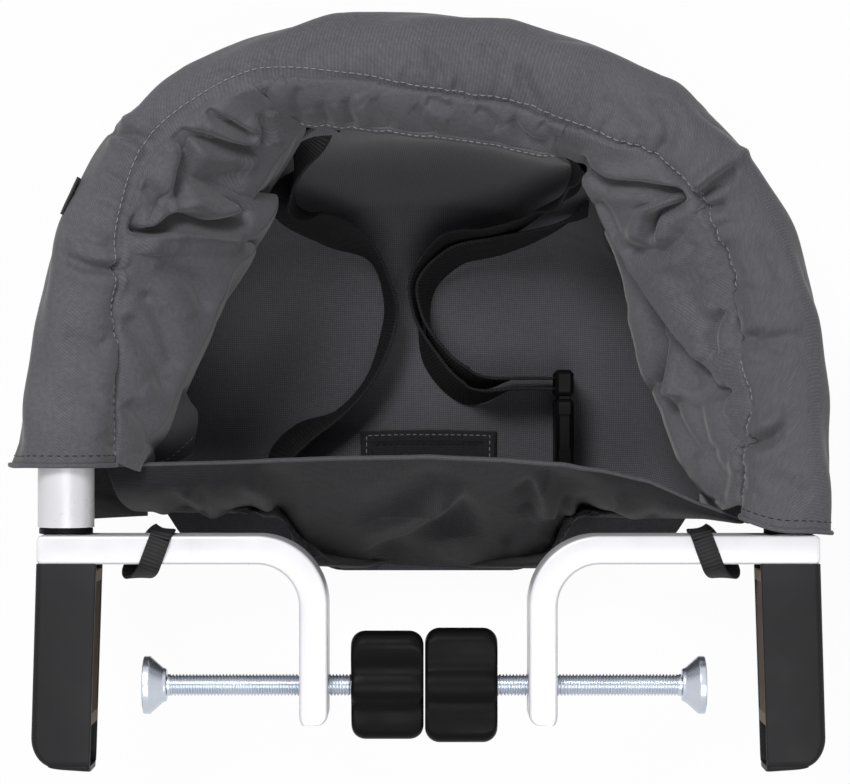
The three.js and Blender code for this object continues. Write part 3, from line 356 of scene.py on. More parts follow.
@dataclass
class Finishes:
    """Every finish of the seat, built once."""

    built: dict[str, bpy.types.Material] = field(default_factory=dict)

    # Polyester twill, a dull grey: real threads are 0.3 mm, drawn at 1.5 mm so that the diagonal shows.
    twill = ClothFinish("polyester_twill", "#636267", "#47464b", Weave.TWILL, 1.5, 0.2, 0.78, 0.2, 0.55, 0.7)
    # Polyester mesh over foam: a net of small dark holes, drawn about 1 mm apart.
    net = ClothFinish("polyester_mesh", "#69686e", "#434247", Weave.NET, 1.05, 0.16, 0.88, 0.25, 0.5)
    # Black canvas: plain weave, drawn at 1.15 mm, a dull charcoal where light rakes it.
    canvas = ClothFinish("black_canvas", "#29292c", "#131315", Weave.PLAIN, 1.15, 0.3, 0.85, 0.1, 0.6, 0.8)
    # The same canvas a tone lighter: painted highlight along the rolled front hem's top; the side flap is
    # drawn in it too.
    hem_highlight_canvas = ClothFinish("canvas_with_painted_highlight", "#56565a", "#3f3f42", Weave.PLAIN, 1.1, 0.1, 0.8, 0.1, 0.4)
    # Polypropylene webbing: cross ribs 1.7 mm apart, slightly glossy.
    webbing = ClothFinish("ribbed_webbing", "#242426", "#0f0f10", Weave.RIBBED, 1.7, 0.35, 0.65, 0.0, 0.5)
    # Twisted polyester sewing thread, one a tone lighter than the twill and one black.
    pale_thread = ClothFinish("pale_thread", "#95949a", "#79787d", Weave.TWILL, 0.6, 0.05, 0.7, 0.2, 0.3)
    dark_thread = ClothFinish("dark_thread", "#101011", "#070708", Weave.TWILL, 0.6, 0.05, 0.7, 0.1, 0.3)
    # The moulded finishes' second tones are painted highlight on convex edges.
    # Nylon with glass fibre, moulded in a fine-grained tool: a satin black.
    nylon = MouldedFinish("moulded_nylon", "#121214", "#1e1e21", 0.52, 0.5, 0.03)
    # Acetal, moulded smoother and darker.
    acetal = MouldedFinish("moulded_acetal", "#0a0a0b", "#131315", 0.42, 0.6, 0.02, 0.07)
    # Grip rubber with a dusty brown bloom.
    rubber = MouldedFinish("grip_rubber", "#63594f", "#75695e", 0.8, 0.7, 0.05)
    # Powder-coated steel: white enamel with a slight silver flake.
    powder = HardFinish("powder_coated_steel", "#d2d1d5", "#dedde1", 0.32, 1.6, 0.02, metallic=0.15)
    # Zinc-plated steel with its faint blue.
    zinc = HardFinish("zinc_plated_steel", "#b4bcc8", "#d3d9e2", 0.24, 0.8, 0.01, metallic=0.9)

    def get(self, name: str) -> bpy.types.Material:
        """The material of a finish by its field name."""
        if name not in self.built:
            self.built[name] = getattr(self, name).build()
        return self.built[name]


FINISHES = Finishes()


# Meshes from grids


def link_mesh(name: str, vertices: Array, faces: Array, finish: str, uv: Optional[Array] = None) -> Piece:
    """A smooth-shaded object of quads.

    Args:
        name: Object name.
        vertices: Points in millimetres, one per row.
        faces: Vertex numbers, four per row.
        finish: Field name of its finish.
        uv: Millimetre coordinates for each face corner.

    Returns:
        The new object, in the scene.
    """
    mesh = bpy.data.meshes.new(name)
    mesh.vertices.add(len(vertices))
    mesh.vertices.foreach_set("co", (vertices * MM).astype(np.float32).ravel())
    mesh.loops.add(faces.size)
    mesh.loops.foreach_set("vertex_index", faces.astype(np.int32).ravel())
    mesh.polygons.add(len(faces))
    mesh.polygons.foreach_set("loop_start", np.arange(0, faces.size, faces.shape[1], dtype=np.int32))
    mesh.polygons.foreach_set("loop_total", np.full(len(faces), faces.shape[1], np.int32))
    mesh.update(calc_edges=True)
    if uv is not None:
        layer = mesh.uv_layers.new(name="mm")
        layer.data.foreach_set("uv", uv.astype(np.float32).ravel())
    mesh.validate()
    mesh.polygons.foreach_set("use_smooth", np.ones(len(mesh.polygons), bool))
    mesh.materials.append(FINISHES.get(finish))
    made = bpy.data.objects.new(name, mesh)
    bpy.context.scene.collection.objects.link(made)
    return made


def settle(made: Piece, body: str, slot: str, *nodes: str) -> Piece:
    """Puts a piece on the body that it rides on and hides the CAD nodes that it replaces.

    Args:
        made: The piece.
        body: CAD body that it rides on.
        slot: The record's material slot; not used.
        nodes: CAD nodes that it replaces, if any.

    Returns:
        The piece.
    """
    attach(made, body)
    if nodes:
        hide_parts(*nodes)
    return made


def quads(rows: int, columns: int, wrapped: bool,
        mm: Optional[Array] = None) -> tuple[Array, Optional[Array]]:
    """Quads of a grid of points.

    Args:
        rows: Rows of points.
        columns: Columns of points.
        wrapped: Whether the last column joins the first.
        mm: Millimetre coordinates of the points, with the first column's again at the end if wrapped.

    Returns:
        Vertex numbers, four in each row, and the coordinates at the quads' corners.
    """
    i, j = np.meshgrid(np.arange(rows - 1), np.arange(columns if wrapped else columns - 1), indexing="ij")
    k = (j + 1) % columns
    faces = np.stack([i * columns + j, i * columns + k, (i + 1) * columns + k, (i + 1) * columns + j],
        axis=-1)
    if mm is not None:
        mm = np.stack([mm[i, j], mm[i, j + 1], mm[i + 1, j + 1], mm[i + 1, j]], axis=-2).reshape(-1, 4, 2)
    return faces.reshape(-1, 4), mm


def evened(values: Array, window: int = 33) -> Array:
    """Values averaged along the rows and columns, so that small folds don't bend the weave.

    Args:
        values: Lengths in rows and columns.
        window: Number of values in each mean.

    Returns:
        The evened lengths.
    """
    for axis in (0, 1):
        count = values.shape[axis]
        size = min(window, 2 * ((count - 1) // 2) + 1)
        half = size // 2
        if half < 1:
            continue
        pad = [(half, half) if k == axis else (0, 0) for k in range(2)]
        total = np.cumsum(np.pad(values, pad, mode="reflect", reflect_type="odd"), axis=axis)
        zero = np.zeros_like(np.take(total, [0], axis=axis))
        total = np.concatenate([zero, total], axis=axis)
        ahead, behind = (np.take(total, range(start, start + count), axis=axis) for start in (size, 0))
        values = (ahead - behind) / size
    return values


@dataclass
class Grid:
    """A sheet of points in rows and columns, in millimetres, closed along its columns if wrapped."""

    points: Array
    wrapped: bool = False

    def normals(self) -> Array:
        """Unit normals at every point."""
        if self.wrapped:
            across = np.roll(self.points, -1, axis=1) - np.roll(self.points, 1, axis=1)
        else:
            across = np.gradient(self.points, axis=1)
        return unit(np.cross(across, np.gradient(self.points, axis=0)))

    def facing(self, towards: Sequence[float]) -> Array:
        """Unit normals, all on the side that mostly faces the given direction or directions."""
        normals = self.normals()
        return normals if np.sum(normals * np.asarray(towards)) > 0 else -normals

    def lengths(self, axis: int) -> Array:
        """Distances along an axis from its first row or column."""
        steps = np.linalg.norm(np.diff(self.points, axis=axis), axis=-1)
        start = np.zeros_like(steps[:1] if axis == 0 else steps[:, :1])
        return np.cumsum(np.concatenate([start, steps], axis=axis), axis=axis)

    def build(self, name: str, finish: str, thickness: float = 0.0) -> Piece:
        """Makes the grid as an object.

        Args:
            name: Object name.
            finish: Field name of its finish.
            thickness: Thickness in millimetres, if it has one.

        Returns:
            The new object.
        """
        rows, columns = self.points.shape[:2]
        u = self.lengths(1)
        u, v = evened(u - u[:, columns // 2][:, None]), evened(self.lengths(0))
        if self.wrapped:
            closing = u[:, -1] + np.linalg.norm(self.points[:, -1] - self.points[:, 0], axis=-1)
            u, v = np.column_stack([u, closing]), np.column_stack([v, v[:, 0]])
        faces, uv = quads(rows, columns, self.wrapped, np.stack([u, v], axis=-1))
        made = link_mesh(name, self.points.reshape(-1, 3), faces, finish, uv)
        if thickness:
            solid = made.modifiers.new("cloth", "SOLIDIFY")
            solid.thickness = thickness * MM
            solid.offset = 0.0
        return made

    def sheet(self, name: str, finish: str, thickness: float, slot: str, held: str, rests_on: Sequence[str],
            *nodes: str) -> None:
        """Makes the grid as a sheet of cloth on the seat's frame, and works out its width and length.

        Args:
            name: Object name.
            finish: Field name of its finish.
            thickness: Cloth thickness in millimetres.
            slot: The record's material slot, passed on to settle, which does not use it.
            held: How the cloth is held; not used.
            rests_on: Pieces that it lies on or hangs from; not used.
            nodes: CAD nodes that it replaces, if any.
        """
        made = settle(self.build(name, finish, thickness), "seat_frame", slot, *nodes)
        width = float(self.lengths(1)[:, -1].max()) * MM
        length = float(self.lengths(0)[-1].max()) * MM


# Folds and stitches


@dataclass(frozen=True)
class Fold:
    """A crease in cloth with a soft roll beside it, along a line in frame units.

    depth is in millimetres and negative for a ridge, width in frame units, roll a share of depth,
    and side from -1, roll on the right of the line's way, to 1, on its left.
    """

    line: Points
    depth: float
    width: float
    roll: float = 0.5
    side: float = 0.0


def folds(*rows: tuple) -> tuple[Fold, ...]:
    """Folds from rows of depth, width, roll, side and then the line's places in turn."""
    return tuple(Fold(tuple(zip(row[4::2], row[5::2])), *row[:4]) for row in rows)


@dataclass
class FoldField:
    """Folds that press into a surface where the camera sees them."""

    folds: Sequence[Fold]
    fade: float = 0.22
    gain: float = 1.0

    def depth(self, points: Array) -> Array:
        """Height change in millimetres at each point, positive outwards."""
        flat = PLAN.to_frame(points).reshape(-1, 2)
        total = np.zeros(len(flat))
        for fold in self.folds:
            total += self.one(fold, flat)
        return total.reshape(points.shape[:-1])

    def one(self, fold: Fold, flat: Array) -> Array:
        """Height change of one fold at points in frame units.

        Args:
            fold: The fold.
            flat: Places in frame units.

        Returns:
            Millimetres, one for each place.
        """
        line = smooth_path(np.array(fold.line), 8 * (len(fold.line) - 1))
        reach = 6 * fold.width
        near = np.all((flat > line.min(0) - reach) & (flat < line.max(0) + reach), axis=1)
        height = np.zeros(len(flat))
        if not near.any():
            return height
        p = flat[near]
        start, step = line[:-1], np.diff(line, axis=0)
        size = np.maximum((step ** 2).sum(1), 1e-9)
        away = p[:, None] - start[None]
        t = np.clip((away * step).sum(-1) / size, 0, 1)
        gap = away - t[..., None] * step
        distance = np.linalg.norm(gap, axis=-1)
        best = distance.argmin(1)
        pick = np.arange(len(p))
        turn = step[best, 0] * away[pick, best, 1] - step[best, 1] * away[pick, best, 0]
        q = np.sign(turn) * distance[pick, best] / fold.width
        along = (best + t[pick, best]) / len(step)
        taper = ease(along, 0, self.fade) * (1 - ease(along, 1 - self.fade, 1))
        left, right = np.exp(-(((q + 2.3) / 1.7) ** 2)), np.exp(-(((q - 2.3) / 1.7) ** 2))
        rolls = ((1 + fold.side) * left + (1 - fold.side) * right) / 2
        height[near] = self.gain * fold.depth * taper * (fold.roll * rolls - np.exp(-q * q))
        return height


@dataclass
class StitchRow:
    """Lockstitches along a path: each a short thread capsule that dips in at its ends."""

    length: float = 2.5
    gap: float = 1.0
    radius: float = 0.28
    sides: int = 6
    rings: int = 5

    def build(self, name: str, path: Array, normals: Array, thread: str, slot: str) -> None:
        """Sews stitches along a path, as one object on the seat's frame.

        Args:
            name: Object name.
            path: Points in millimetres.
            normals: Directions out of the cloth at those points.
            thread: Field name of the thread's finish.
            slot: The record's material slot, passed on to settle, which does not use it.
        """
        steps = np.concatenate([[0], np.cumsum(np.linalg.norm(np.diff(path, axis=0), axis=1))])
        count = max(1, int(steps[-1] / (self.length + self.gap)))
        starts = np.arange(count) * (steps[-1] / count)
        share = np.linspace(0, 1, self.rings)
        place = starts[:, None] + self.length * share[None]
        centre = np.stack([np.interp(place, steps, path[:, k]) for k in range(3)], axis=-1)
        up = unit(np.stack([np.interp(place, steps, normals[:, k]) for k in range(3)], axis=-1))
        along = unit(np.gradient(centre, axis=1))
        side = unit(np.cross(along, up))
        arch = np.sin(np.pi * np.linspace(0.12, 0.88, self.rings))
        centre = centre + up * (self.radius * (1.3 * arch - 0.7))[None, :, None]
        angle = 2 * np.pi * np.arange(self.sides) / self.sides
        thick = self.radius * (0.45 + 0.55 * arch)
        across, rise = np.cos(angle)[:, None], np.sin(angle)[:, None]
        ring = (side[:, :, None] * across + up[:, :, None] * rise) * thick[None, :, None, None]
        points = centre[:, :, None] + ring
        at = np.arange(count * self.rings * self.sides).reshape(count, self.rings, self.sides)
        turned = np.roll(at, -1, axis=2)
        around = np.stack([at[:, :-1], turned[:, :-1], turned[:, 1:], at[:, 1:]], axis=-1).reshape(-1, 4)
        caps = [cap[:, part] for cap in (at[:, 0, ::-1], at[:, -1]) for part in ([0, 1, 2, 3], [3, 4, 5, 0])]
        faces = np.concatenate([around, *caps])
        flat = points.reshape(-1, 3)
        settle(link_mesh(name, flat, faces, thread, flat[faces][..., :2]), "seat_frame", slot)


# Frame line and casing


@dataclass
class FrameLine:
    """Centre line of the U-shaped tube, from the left end at share 0 to the right end at 1."""

    half_width: float = 163.0
    end_y: float = 16.1
    bend_y: float = 75.0
    back_y: float = 231.0
    back_drift: float = -5.0
    power: float = 2.3
    samples: int = 4000

    def __post_init__(self) -> None:
        """Samples the line by its length."""
        legs = np.linspace(self.end_y, self.bend_y, 200)[:-1]
        angle = np.linspace(0, np.pi, self.samples)
        across = np.sign(np.cos(angle)) * np.abs(np.cos(angle)) ** (2 / self.power)
        depth = self.back_y - self.bend_y
        reach = depth * np.abs(np.sin(angle)) ** (2 / self.power)
        x = self.back_drift * (reach / depth) ** 2 - self.half_width * across
        left = np.stack([np.full_like(legs, -self.half_width), legs], axis=1)
        right = np.stack([np.full_like(legs, self.half_width), legs[::-1]], axis=1)
        self.line = np.vstack([left, np.stack([x, self.bend_y + reach], axis=1), right])
        steps = np.linalg.norm(np.diff(self.line, axis=0), axis=1)
        self.total = float(steps.sum())
        self.shares = np.concatenate([[0], np.cumsum(steps)]) / self.total

    def point(self, share: Array) -> Array:
        """Points on the line at shares of its length."""
        share = np.clip(share, 0, 1)
        x = np.interp(share, self.shares, self.line[:, 0])
        y = np.interp(share, self.shares, self.line[:, 1])
        return np.stack([x, y, np.zeros_like(x)], axis=-1)

    def outward(self, share: Array) -> Array:
        """Level directions out of the seat, square to the line."""
        step = 0.002
        along = self.point(np.clip(share + step, 0, 1)) - self.point(np.clip(share - step, 0, 1))
        return unit(np.stack([-along[..., 1], along[..., 0], np.zeros_like(along[..., 0])], axis=-1))

    def left_share(self, y: float) -> float:
        """Share at which the left leg reaches y; the right leg's is as far from 1."""
        return (y - self.end_y) / self.total


@dataclass
class CasingForm:
    """Section of the padded casing round the tube: turn 0 is outboard, a quarter on top, a half inboard."""

    line: FrameLine
    outboard: float = 17.5
    inboard: float = 22.0
    back_inboard: float = 33.0
    right_fold: float = 8.0
    flare: float = 6.0
    up: float = 17.0
    down: float = 19.0
    lift: float = -1.0
    least: float = 14.2
    left_end_y: float = 44.0
    right_end_y: float = 17.2
    reach: tuple = ((0.04, 1.16), (0.06, 1.00), (0.10, 0.90), (0.15, 0.82), (0.23, 0.84), (0.28, 0.97),
        (0.33, 0.92), (0.40, 0.92), (0.47, 0.97), (0.52, 0.90), (0.57, 0.82), (0.84, 0.82), (0.90, 0.92),
        (0.95, 1.02), (1.00, 1.02))
    stitch: Points = ((116, 468), (116, 450), (116, 300), (122, 225), (155, 130), (190, 105), (255, 77),
        (325, 79), (415, 92), (535, 115), (650, 160), (692, 187), (720, 250), (740, 340), (749, 425),
        (735, 510), (730, 540))

    def __post_init__(self) -> None:
        """Finds where the casing starts, ends and is stitched."""
        self.start = self.line.left_share(self.left_end_y)
        self.end = 1 - self.line.left_share(self.right_end_y)
        share, turn = np.meshgrid(np.linspace(self.start, self.end, 400), np.linspace(0.26, 0.56, 60),
            indexing="ij")
        grid = PLAN.to_frame(self.surface(share, turn)).reshape(-1, 2)
        wanted = smooth_path(np.array(self.stitch, float), 240)
        nearest = np.array([((grid - w) ** 2).sum(1).argmin() for w in wanted])
        found = np.stack([share.ravel()[nearest], turn.ravel()[nearest]], axis=1)
        found = found[np.argsort(found[:, 0])]
        places = np.linspace(self.start, self.end, 80)
        values = np.interp(places, found[:, 0], found[:, 1])
        soft = np.convolve(np.pad(values, 2, mode="edge"), np.ones(5) / 5, mode="valid")
        self.stitch_rows = (places, soft)

    def stitch_turn(self, share: Array) -> Array:
        """Turn of the stitch line at a share."""
        return np.interp(share, *self.stitch_rows)

    def inboard_reach(self, share: Array) -> Array:
        """How far the casing lies inboard of the line."""
        backness = ease(np.sin(np.pi * share), 0.8, 1)
        fold = np.exp(-(((share - 0.61) / 0.05) ** 2))
        return lerp(self.inboard, self.back_inboard, backness) + self.right_fold * fold

    def clear_of_tube(self, points: Array) -> Array:
        """Points moved out to the padding's least thickness where they lie too near the tube.

        Args:
            points: Points in millimetres, in rows and columns.

        Returns:
            The points, moved where needed.
        """
        line = self.line.point(np.linspace(0, 1, 500))
        moved = points.copy()
        for row in moved:
            away = row[:, None] - line[None]
            distance = np.linalg.norm(away, axis=-1)
            nearest = distance.argmin(1)
            place = np.arange(len(row))
            least = distance[place, nearest]
            push = np.maximum(0, self.least - least)
            row += unit(away[place, nearest]) * push[:, None]
        return moved

    def surface(self, share: Array, turn: Array) -> Array:
        """Points on the plain casing.

        Args:
            share: Shares of the line's length.
            turn: Turns round the line.

        Returns:
            Points in millimetres.
        """
        angle = 2 * np.pi * turn
        across, rise = np.cos(angle), np.sin(angle)
        inboard = self.inboard_reach(share)
        outboard = self.outboard * table(share, self.reach) + self.flare * (1 - ease(share, 0, 0.16))
        reach = np.where(across > 0, outboard, inboard)
        height = np.where(rise > 0, self.up, self.down)
        power = 2 / self.line.power
        droop = np.where(across < 0, (inboard - self.inboard) * across ** 2, 0)
        out = reach * np.sign(across) * np.abs(across) ** power
        z = self.lift + height * np.sign(rise) * np.abs(rise) ** power - droop
        rise = z[..., None] * np.array([0, 0, 1])
        return self.line.point(share) + self.line.outward(share) * out[..., None] + rise


@dataclass
class BucketForm:
    """Walls and base under the casing."""

    casing: CasingForm
    base_z: float = -150.0
    front_y: float = 20.0
    back_y: float = 169.0
    width_share: float = 0.83
    lip_y: float = -12.0
    lip_side_y: float = 3.0
    bulge: float = 7.0
    shell_space: float = 5.0
    lobe: float = 5.0
    sewn: float = 1.3
    cloth: float = 1.8
    mesh: float = 2.4
    gap: float = 0.3
    hem_turn: float = 0.61
    shell_turn: float = 0.8
    left_seam: tuple = (0.425, 0.335)
    right_seam: tuple = (0.607, 0.7)
    tongue_half: float = 43.0
    side_half: float = 76.0

    def __post_init__(self) -> None:
        """Takes the tube's line and finds where the walls start and end."""
        self.line, inset = self.casing.line, 0.004
        self.start, self.end = self.casing.start + inset, self.casing.end - inset

    def edge(self, share: Array) -> Array:
        """Edge of the base under a share of the way round."""
        along = np.clip((share - self.casing.start) / (self.casing.end - self.casing.start), 0, 1)
        above = self.line.point(along)
        depth = (above[..., 1] - self.line.end_y) / (self.line.back_y - self.line.end_y)
        y = lerp(self.front_y, self.back_y, depth)
        return np.stack([above[..., 0] * self.width_share, y, np.full_like(y, self.base_z)], axis=-1)

    def wall(self, share: Array, drop: Array) -> Array:
        """Wall from the casing at drop 0 to the base at 1.

        Args:
            share: Shares of the tube's length.
            drop: Shares of the way down.

        Returns:
            Points in millimetres.
        """
        away = self.line.outward(share)
        top = self.casing.surface(share, np.full_like(share, self.hem_turn)) - away * self.sewn
        top[..., 2] -= self.sewn
        bottom = self.edge(share)
        bottom[..., 2] = self.base_z + self.mesh / 2 + self.cloth / 2 + self.gap
        bulge = self.bulge * np.sin(np.pi * drop) ** 2
        return top + (bottom - top) * drop[..., None] + away * bulge[..., None]

    def base_height(self, x: Array, y: Array) -> Array:
        """Height of the base's middle surface."""
        across = (np.abs(x) / (self.line.half_width * self.width_share)) ** self.line.power
        back = (np.maximum(0, y - self.line.bend_y) / (self.back_y - self.line.bend_y)) ** self.line.power
        front = ease(y, self.lip_y, self.line.bend_y)
        return self.base_z - self.lobe * np.maximum(0, 1 - across - back) * front

    def lip(self, x: Array) -> Array:
        """Y of the base's front edge."""
        end = self.line.half_width * self.width_share
        side = lerp(self.lip_y, self.lip_side_y, ease(np.abs(x), self.tongue_half, self.side_half))
        return lerp(side, self.front_y, ease(np.abs(x), 0.88 * end, end))

    def base(self, s: Array, forward: Array, grow: float) -> Array:
        """Middle surface of the base, from its back row at 0 to its lip at 1.

        Args:
            s: Shares from left to right.
            forward: Shares from the back to the lip.
            grow: Millimetres that the edge stands out.

        Returns:
            Points in millimetres.
        """
        def edge(share: Array) -> Array:
            """The base's edge, grown outward."""
            return self.edge(share) + self.line.outward(share) * grow
        first, last = np.full_like(s, self.left_seam[1]), np.full_like(s, self.right_seam[1])
        left = edge(lerp(first, self.casing.start, forward))
        right = edge(lerp(last, self.casing.end, forward))
        corners = lerp(edge(first)[..., 1], edge(last)[..., 1], s)
        curve = edge(lerp(first, last, s))[..., 1] - corners
        x = lerp(left[..., 0], right[..., 0], s)
        start = lerp(left[..., 1], right[..., 1], s) + (1 - forward) * curve
        y = start + forward * (self.lip(x) - self.front_y)
        return np.stack([x, y, self.base_height(x, y)], axis=-1)


# Soft pieces
# Each row holds a fold's depth, width, roll and side, and then the places of its line.

CASING_FOLDS = folds((3.4, 5, 0.7, 0.3, 60, 252, 79, 264, 114, 269, 127, 264, 138, 256),
    (-2.0, 9, 0, 0, 62, 240, 85, 236, 112, 244), (3.4, 4.5, 0.7, -0.5, 106, 132, 128, 134, 154, 147),
    (-1.0, 8, 0, 0, 118, 120, 137, 120, 158, 127), (1.8, 6, 0.6, 0, 190, 92, 215, 76, 240, 70),
    (1.3, 6, 0.6, 0, 425, 48, 433, 62, 442, 78), (1.8, 7, 0.6, 0, 520, 60, 525, 85, 541, 112),
    (1.2, 9, 0.6, 0, 480, 40, 500, 60, 510, 84), (2.2, 7, 0.7, 0.3, 645, 95, 669, 115, 671, 134, 653, 159),
    (-2.6, 7, 0, 0, 750, 152, 722, 166, 690, 190), (4.6, 5, 0.7, -0.3, 738, 168, 716, 184, 697, 199),
    (2.6, 4.5, 0.7, 0, 697, 204, 712, 207, 728, 203), (1.9, 6, 0.7, 0, 740, 342, 769, 339, 808, 339),
    (1.2, 7, 0.6, 0, 742, 322, 765, 352, 790, 360), (1.2, 8, 0.5, 0, 740, 300, 725, 262, 722, 238),
    (3.4, 6, 0.9, 0.3, 716, 418, 734, 436, 764, 441, 792, 420), (-1.8, 9, 0, 0, 752, 404, 768, 424, 788, 400),
    (1.3, 9, 0.6, 0, 60, 330, 85, 345, 112, 348), (1.2, 9, 0.6, 0, 52, 400, 80, 395, 110, 402),
    (1.1, 9, 0.5, 0, 300, 60, 318, 48, 350, 42), (1.2, 9, 0.5, 0, 600, 96, 625, 118, 640, 138),
    (1.3, 8, 0.5, 0, 755, 240, 775, 262, 786, 290), (1.1, 9, 0.5, 0, 770, 470, 795, 490, 815, 495))

LEFT_WALL_FOLDS = folds((4.6, 6, 0.9, -0.4, 155, 127, 168, 131, 181, 142, 182, 158, 177, 172, 172,
        190, 169, 207),
    (4.4, 6, 0.8, 0.3, 170, 127, 205, 135, 234, 143, 260, 146),
    (4.4, 4.5, 0.8, 0.2, 203, 107, 226, 118, 252, 131), (2.8, 5, 0.7, 0, 256, 106, 261, 127, 262, 142),
    (3.0, 5, 0.8, 0.3, 261, 84, 288, 90, 303, 105, 304, 118),
    (6.5, 6, 0.9, 0.6, 135, 200, 130, 226, 147, 230, 165, 218, 182, 214, 208, 222, 234, 217, 240, 205),
    (-3.4, 8, 0, 0, 130, 244, 170, 238, 208, 238, 238, 242), (2.2, 9, 0.8, 0, 138, 286, 158, 326, 172, 372),
    (2.6, 10, 0.7, 0, 120, 310, 145, 350, 166, 398), (2.6, 9, 0.7, 0, 150, 262, 188, 280, 205, 312),
    (2.0, 9, 0.6, 0, 120, 400, 140, 420, 150, 448), (2.2, 7, 0.7, 0, 128, 180, 150, 190, 165, 205),
    (2.2, 11, 0.7, 0.2, 178, 172, 205, 176, 245, 168))

UPPER_FOLDS = folds((4.0, 5, 0.8, 0.2, 578, 146, 605, 176, 648, 184, 690, 192),
    (5.0, 5, 0.9, -0.3, 650, 186, 682, 192, 684, 200, 662, 210, 656, 226, 653, 246),
    (2.8, 8, 0.5, 0.3, 622, 246, 650, 250, 672, 245, 692, 226),
    (3.2, 6, 0.8, 0, 728, 306, 716, 330, 718, 358),
    (5.0, 6, 0.8, -0.3, 736, 384, 723, 400, 722, 416, 734, 430),
    (1.8, 10, 0.6, 0, 664, 262, 690, 292, 716, 330), (1.8, 7, 0.7, 0, 600, 195, 612, 212, 622, 236),
    (1.8, 8, 0.7, 0, 700, 238, 690, 262, 700, 290))

RIGHT_WALL_FOLDS = folds((6.4, 8, 0.9, 0.3, 652, 292, 664, 330, 668, 372, 662, 392),
    (3.4, 8, 0.8, -0.3, 676, 330, 690, 362, 706, 392),
    (2.6, 8, 0.7, 0, 640, 262, 668, 300, 700, 350, 722, 385),
    (3.0, 8, 0.8, 0.4, 668, 392, 686, 425, 706, 460), (3.0, 8, 0.8, 0.4, 700, 400, 712, 440, 724, 480),
    (1.8, 7, 0.6, 0, 735, 450, 728, 480, 724, 505))

BACK_FOLDS = folds((2.4, 6, 0.7, 0, 262, 84, 268, 100, 280, 118),
    (1.8, 6, 0.7, 0, 300, 82, 296, 100, 305, 118), (2.0, 5, 0.7, 0, 318, 96, 325, 108, 330, 120),
    (2.4, 5, 0.8, 0.4, 345, 92, 350, 108, 356, 122), (2.0, 6, 0.7, 0, 374, 92, 380, 106, 396, 124),
    (2.2, 5, 0.7, -0.3, 425, 96, 440, 100, 455, 106), (1.7, 6, 0.7, 0, 412, 100, 425, 116, 440, 128),
    (2.4, 5, 0.8, 0.3, 475, 104, 488, 112, 502, 126), (3.0, 5, 0.8, -0.3, 512, 112, 524, 130, 554, 140),
    (2.4, 6, 0.8, 0, 540, 118, 552, 130, 566, 142))

MESH_FOLDS = folds((1.4, 18, 0.3, 0, 404, 190, 405, 250, 408, 310, 412, 365),
    (-5.0, 44, 0, 0, 310, 230, 300, 340), (-5.0, 46, 0, 0, 550, 235, 552, 350),
    (-1.6, 40, 0, 0, 400, 440, 470, 430), (1.2, 30, 0.3, 0, 240, 380, 300, 396, 360, 440))

PANEL_FOLDS = folds((5.0, 10, 0.8, 0.4, 466, 480, 418, 514, 352, 541),
    (4.0, 8, 0.8, -0.3, 538, 468, 548, 495, 546, 522),
    (3.0, 7, 0.8, 0.3, 150, 505, 185, 522, 205, 518, 222, 505),
    (2.4, 6, 0.7, 0, 296, 545, 315, 560, 332, 572), (2.6, 6, 0.7, 0, 512, 556, 528, 540, 544, 528),
    (2.4, 7, 0.8, 0, 565, 498, 572, 518, 575, 536), (2.0, 9, 0.7, 0, 240, 478, 262, 492, 270, 520),
    (1.8, 7, 0.7, 0, 180, 486, 192, 500, 206, 508), (1.8, 12, 0.6, 0, 392, 545, 440, 540, 486, 552),
    (1.8, 7, 0.7, 0, 610, 500, 632, 510, 650, 528))


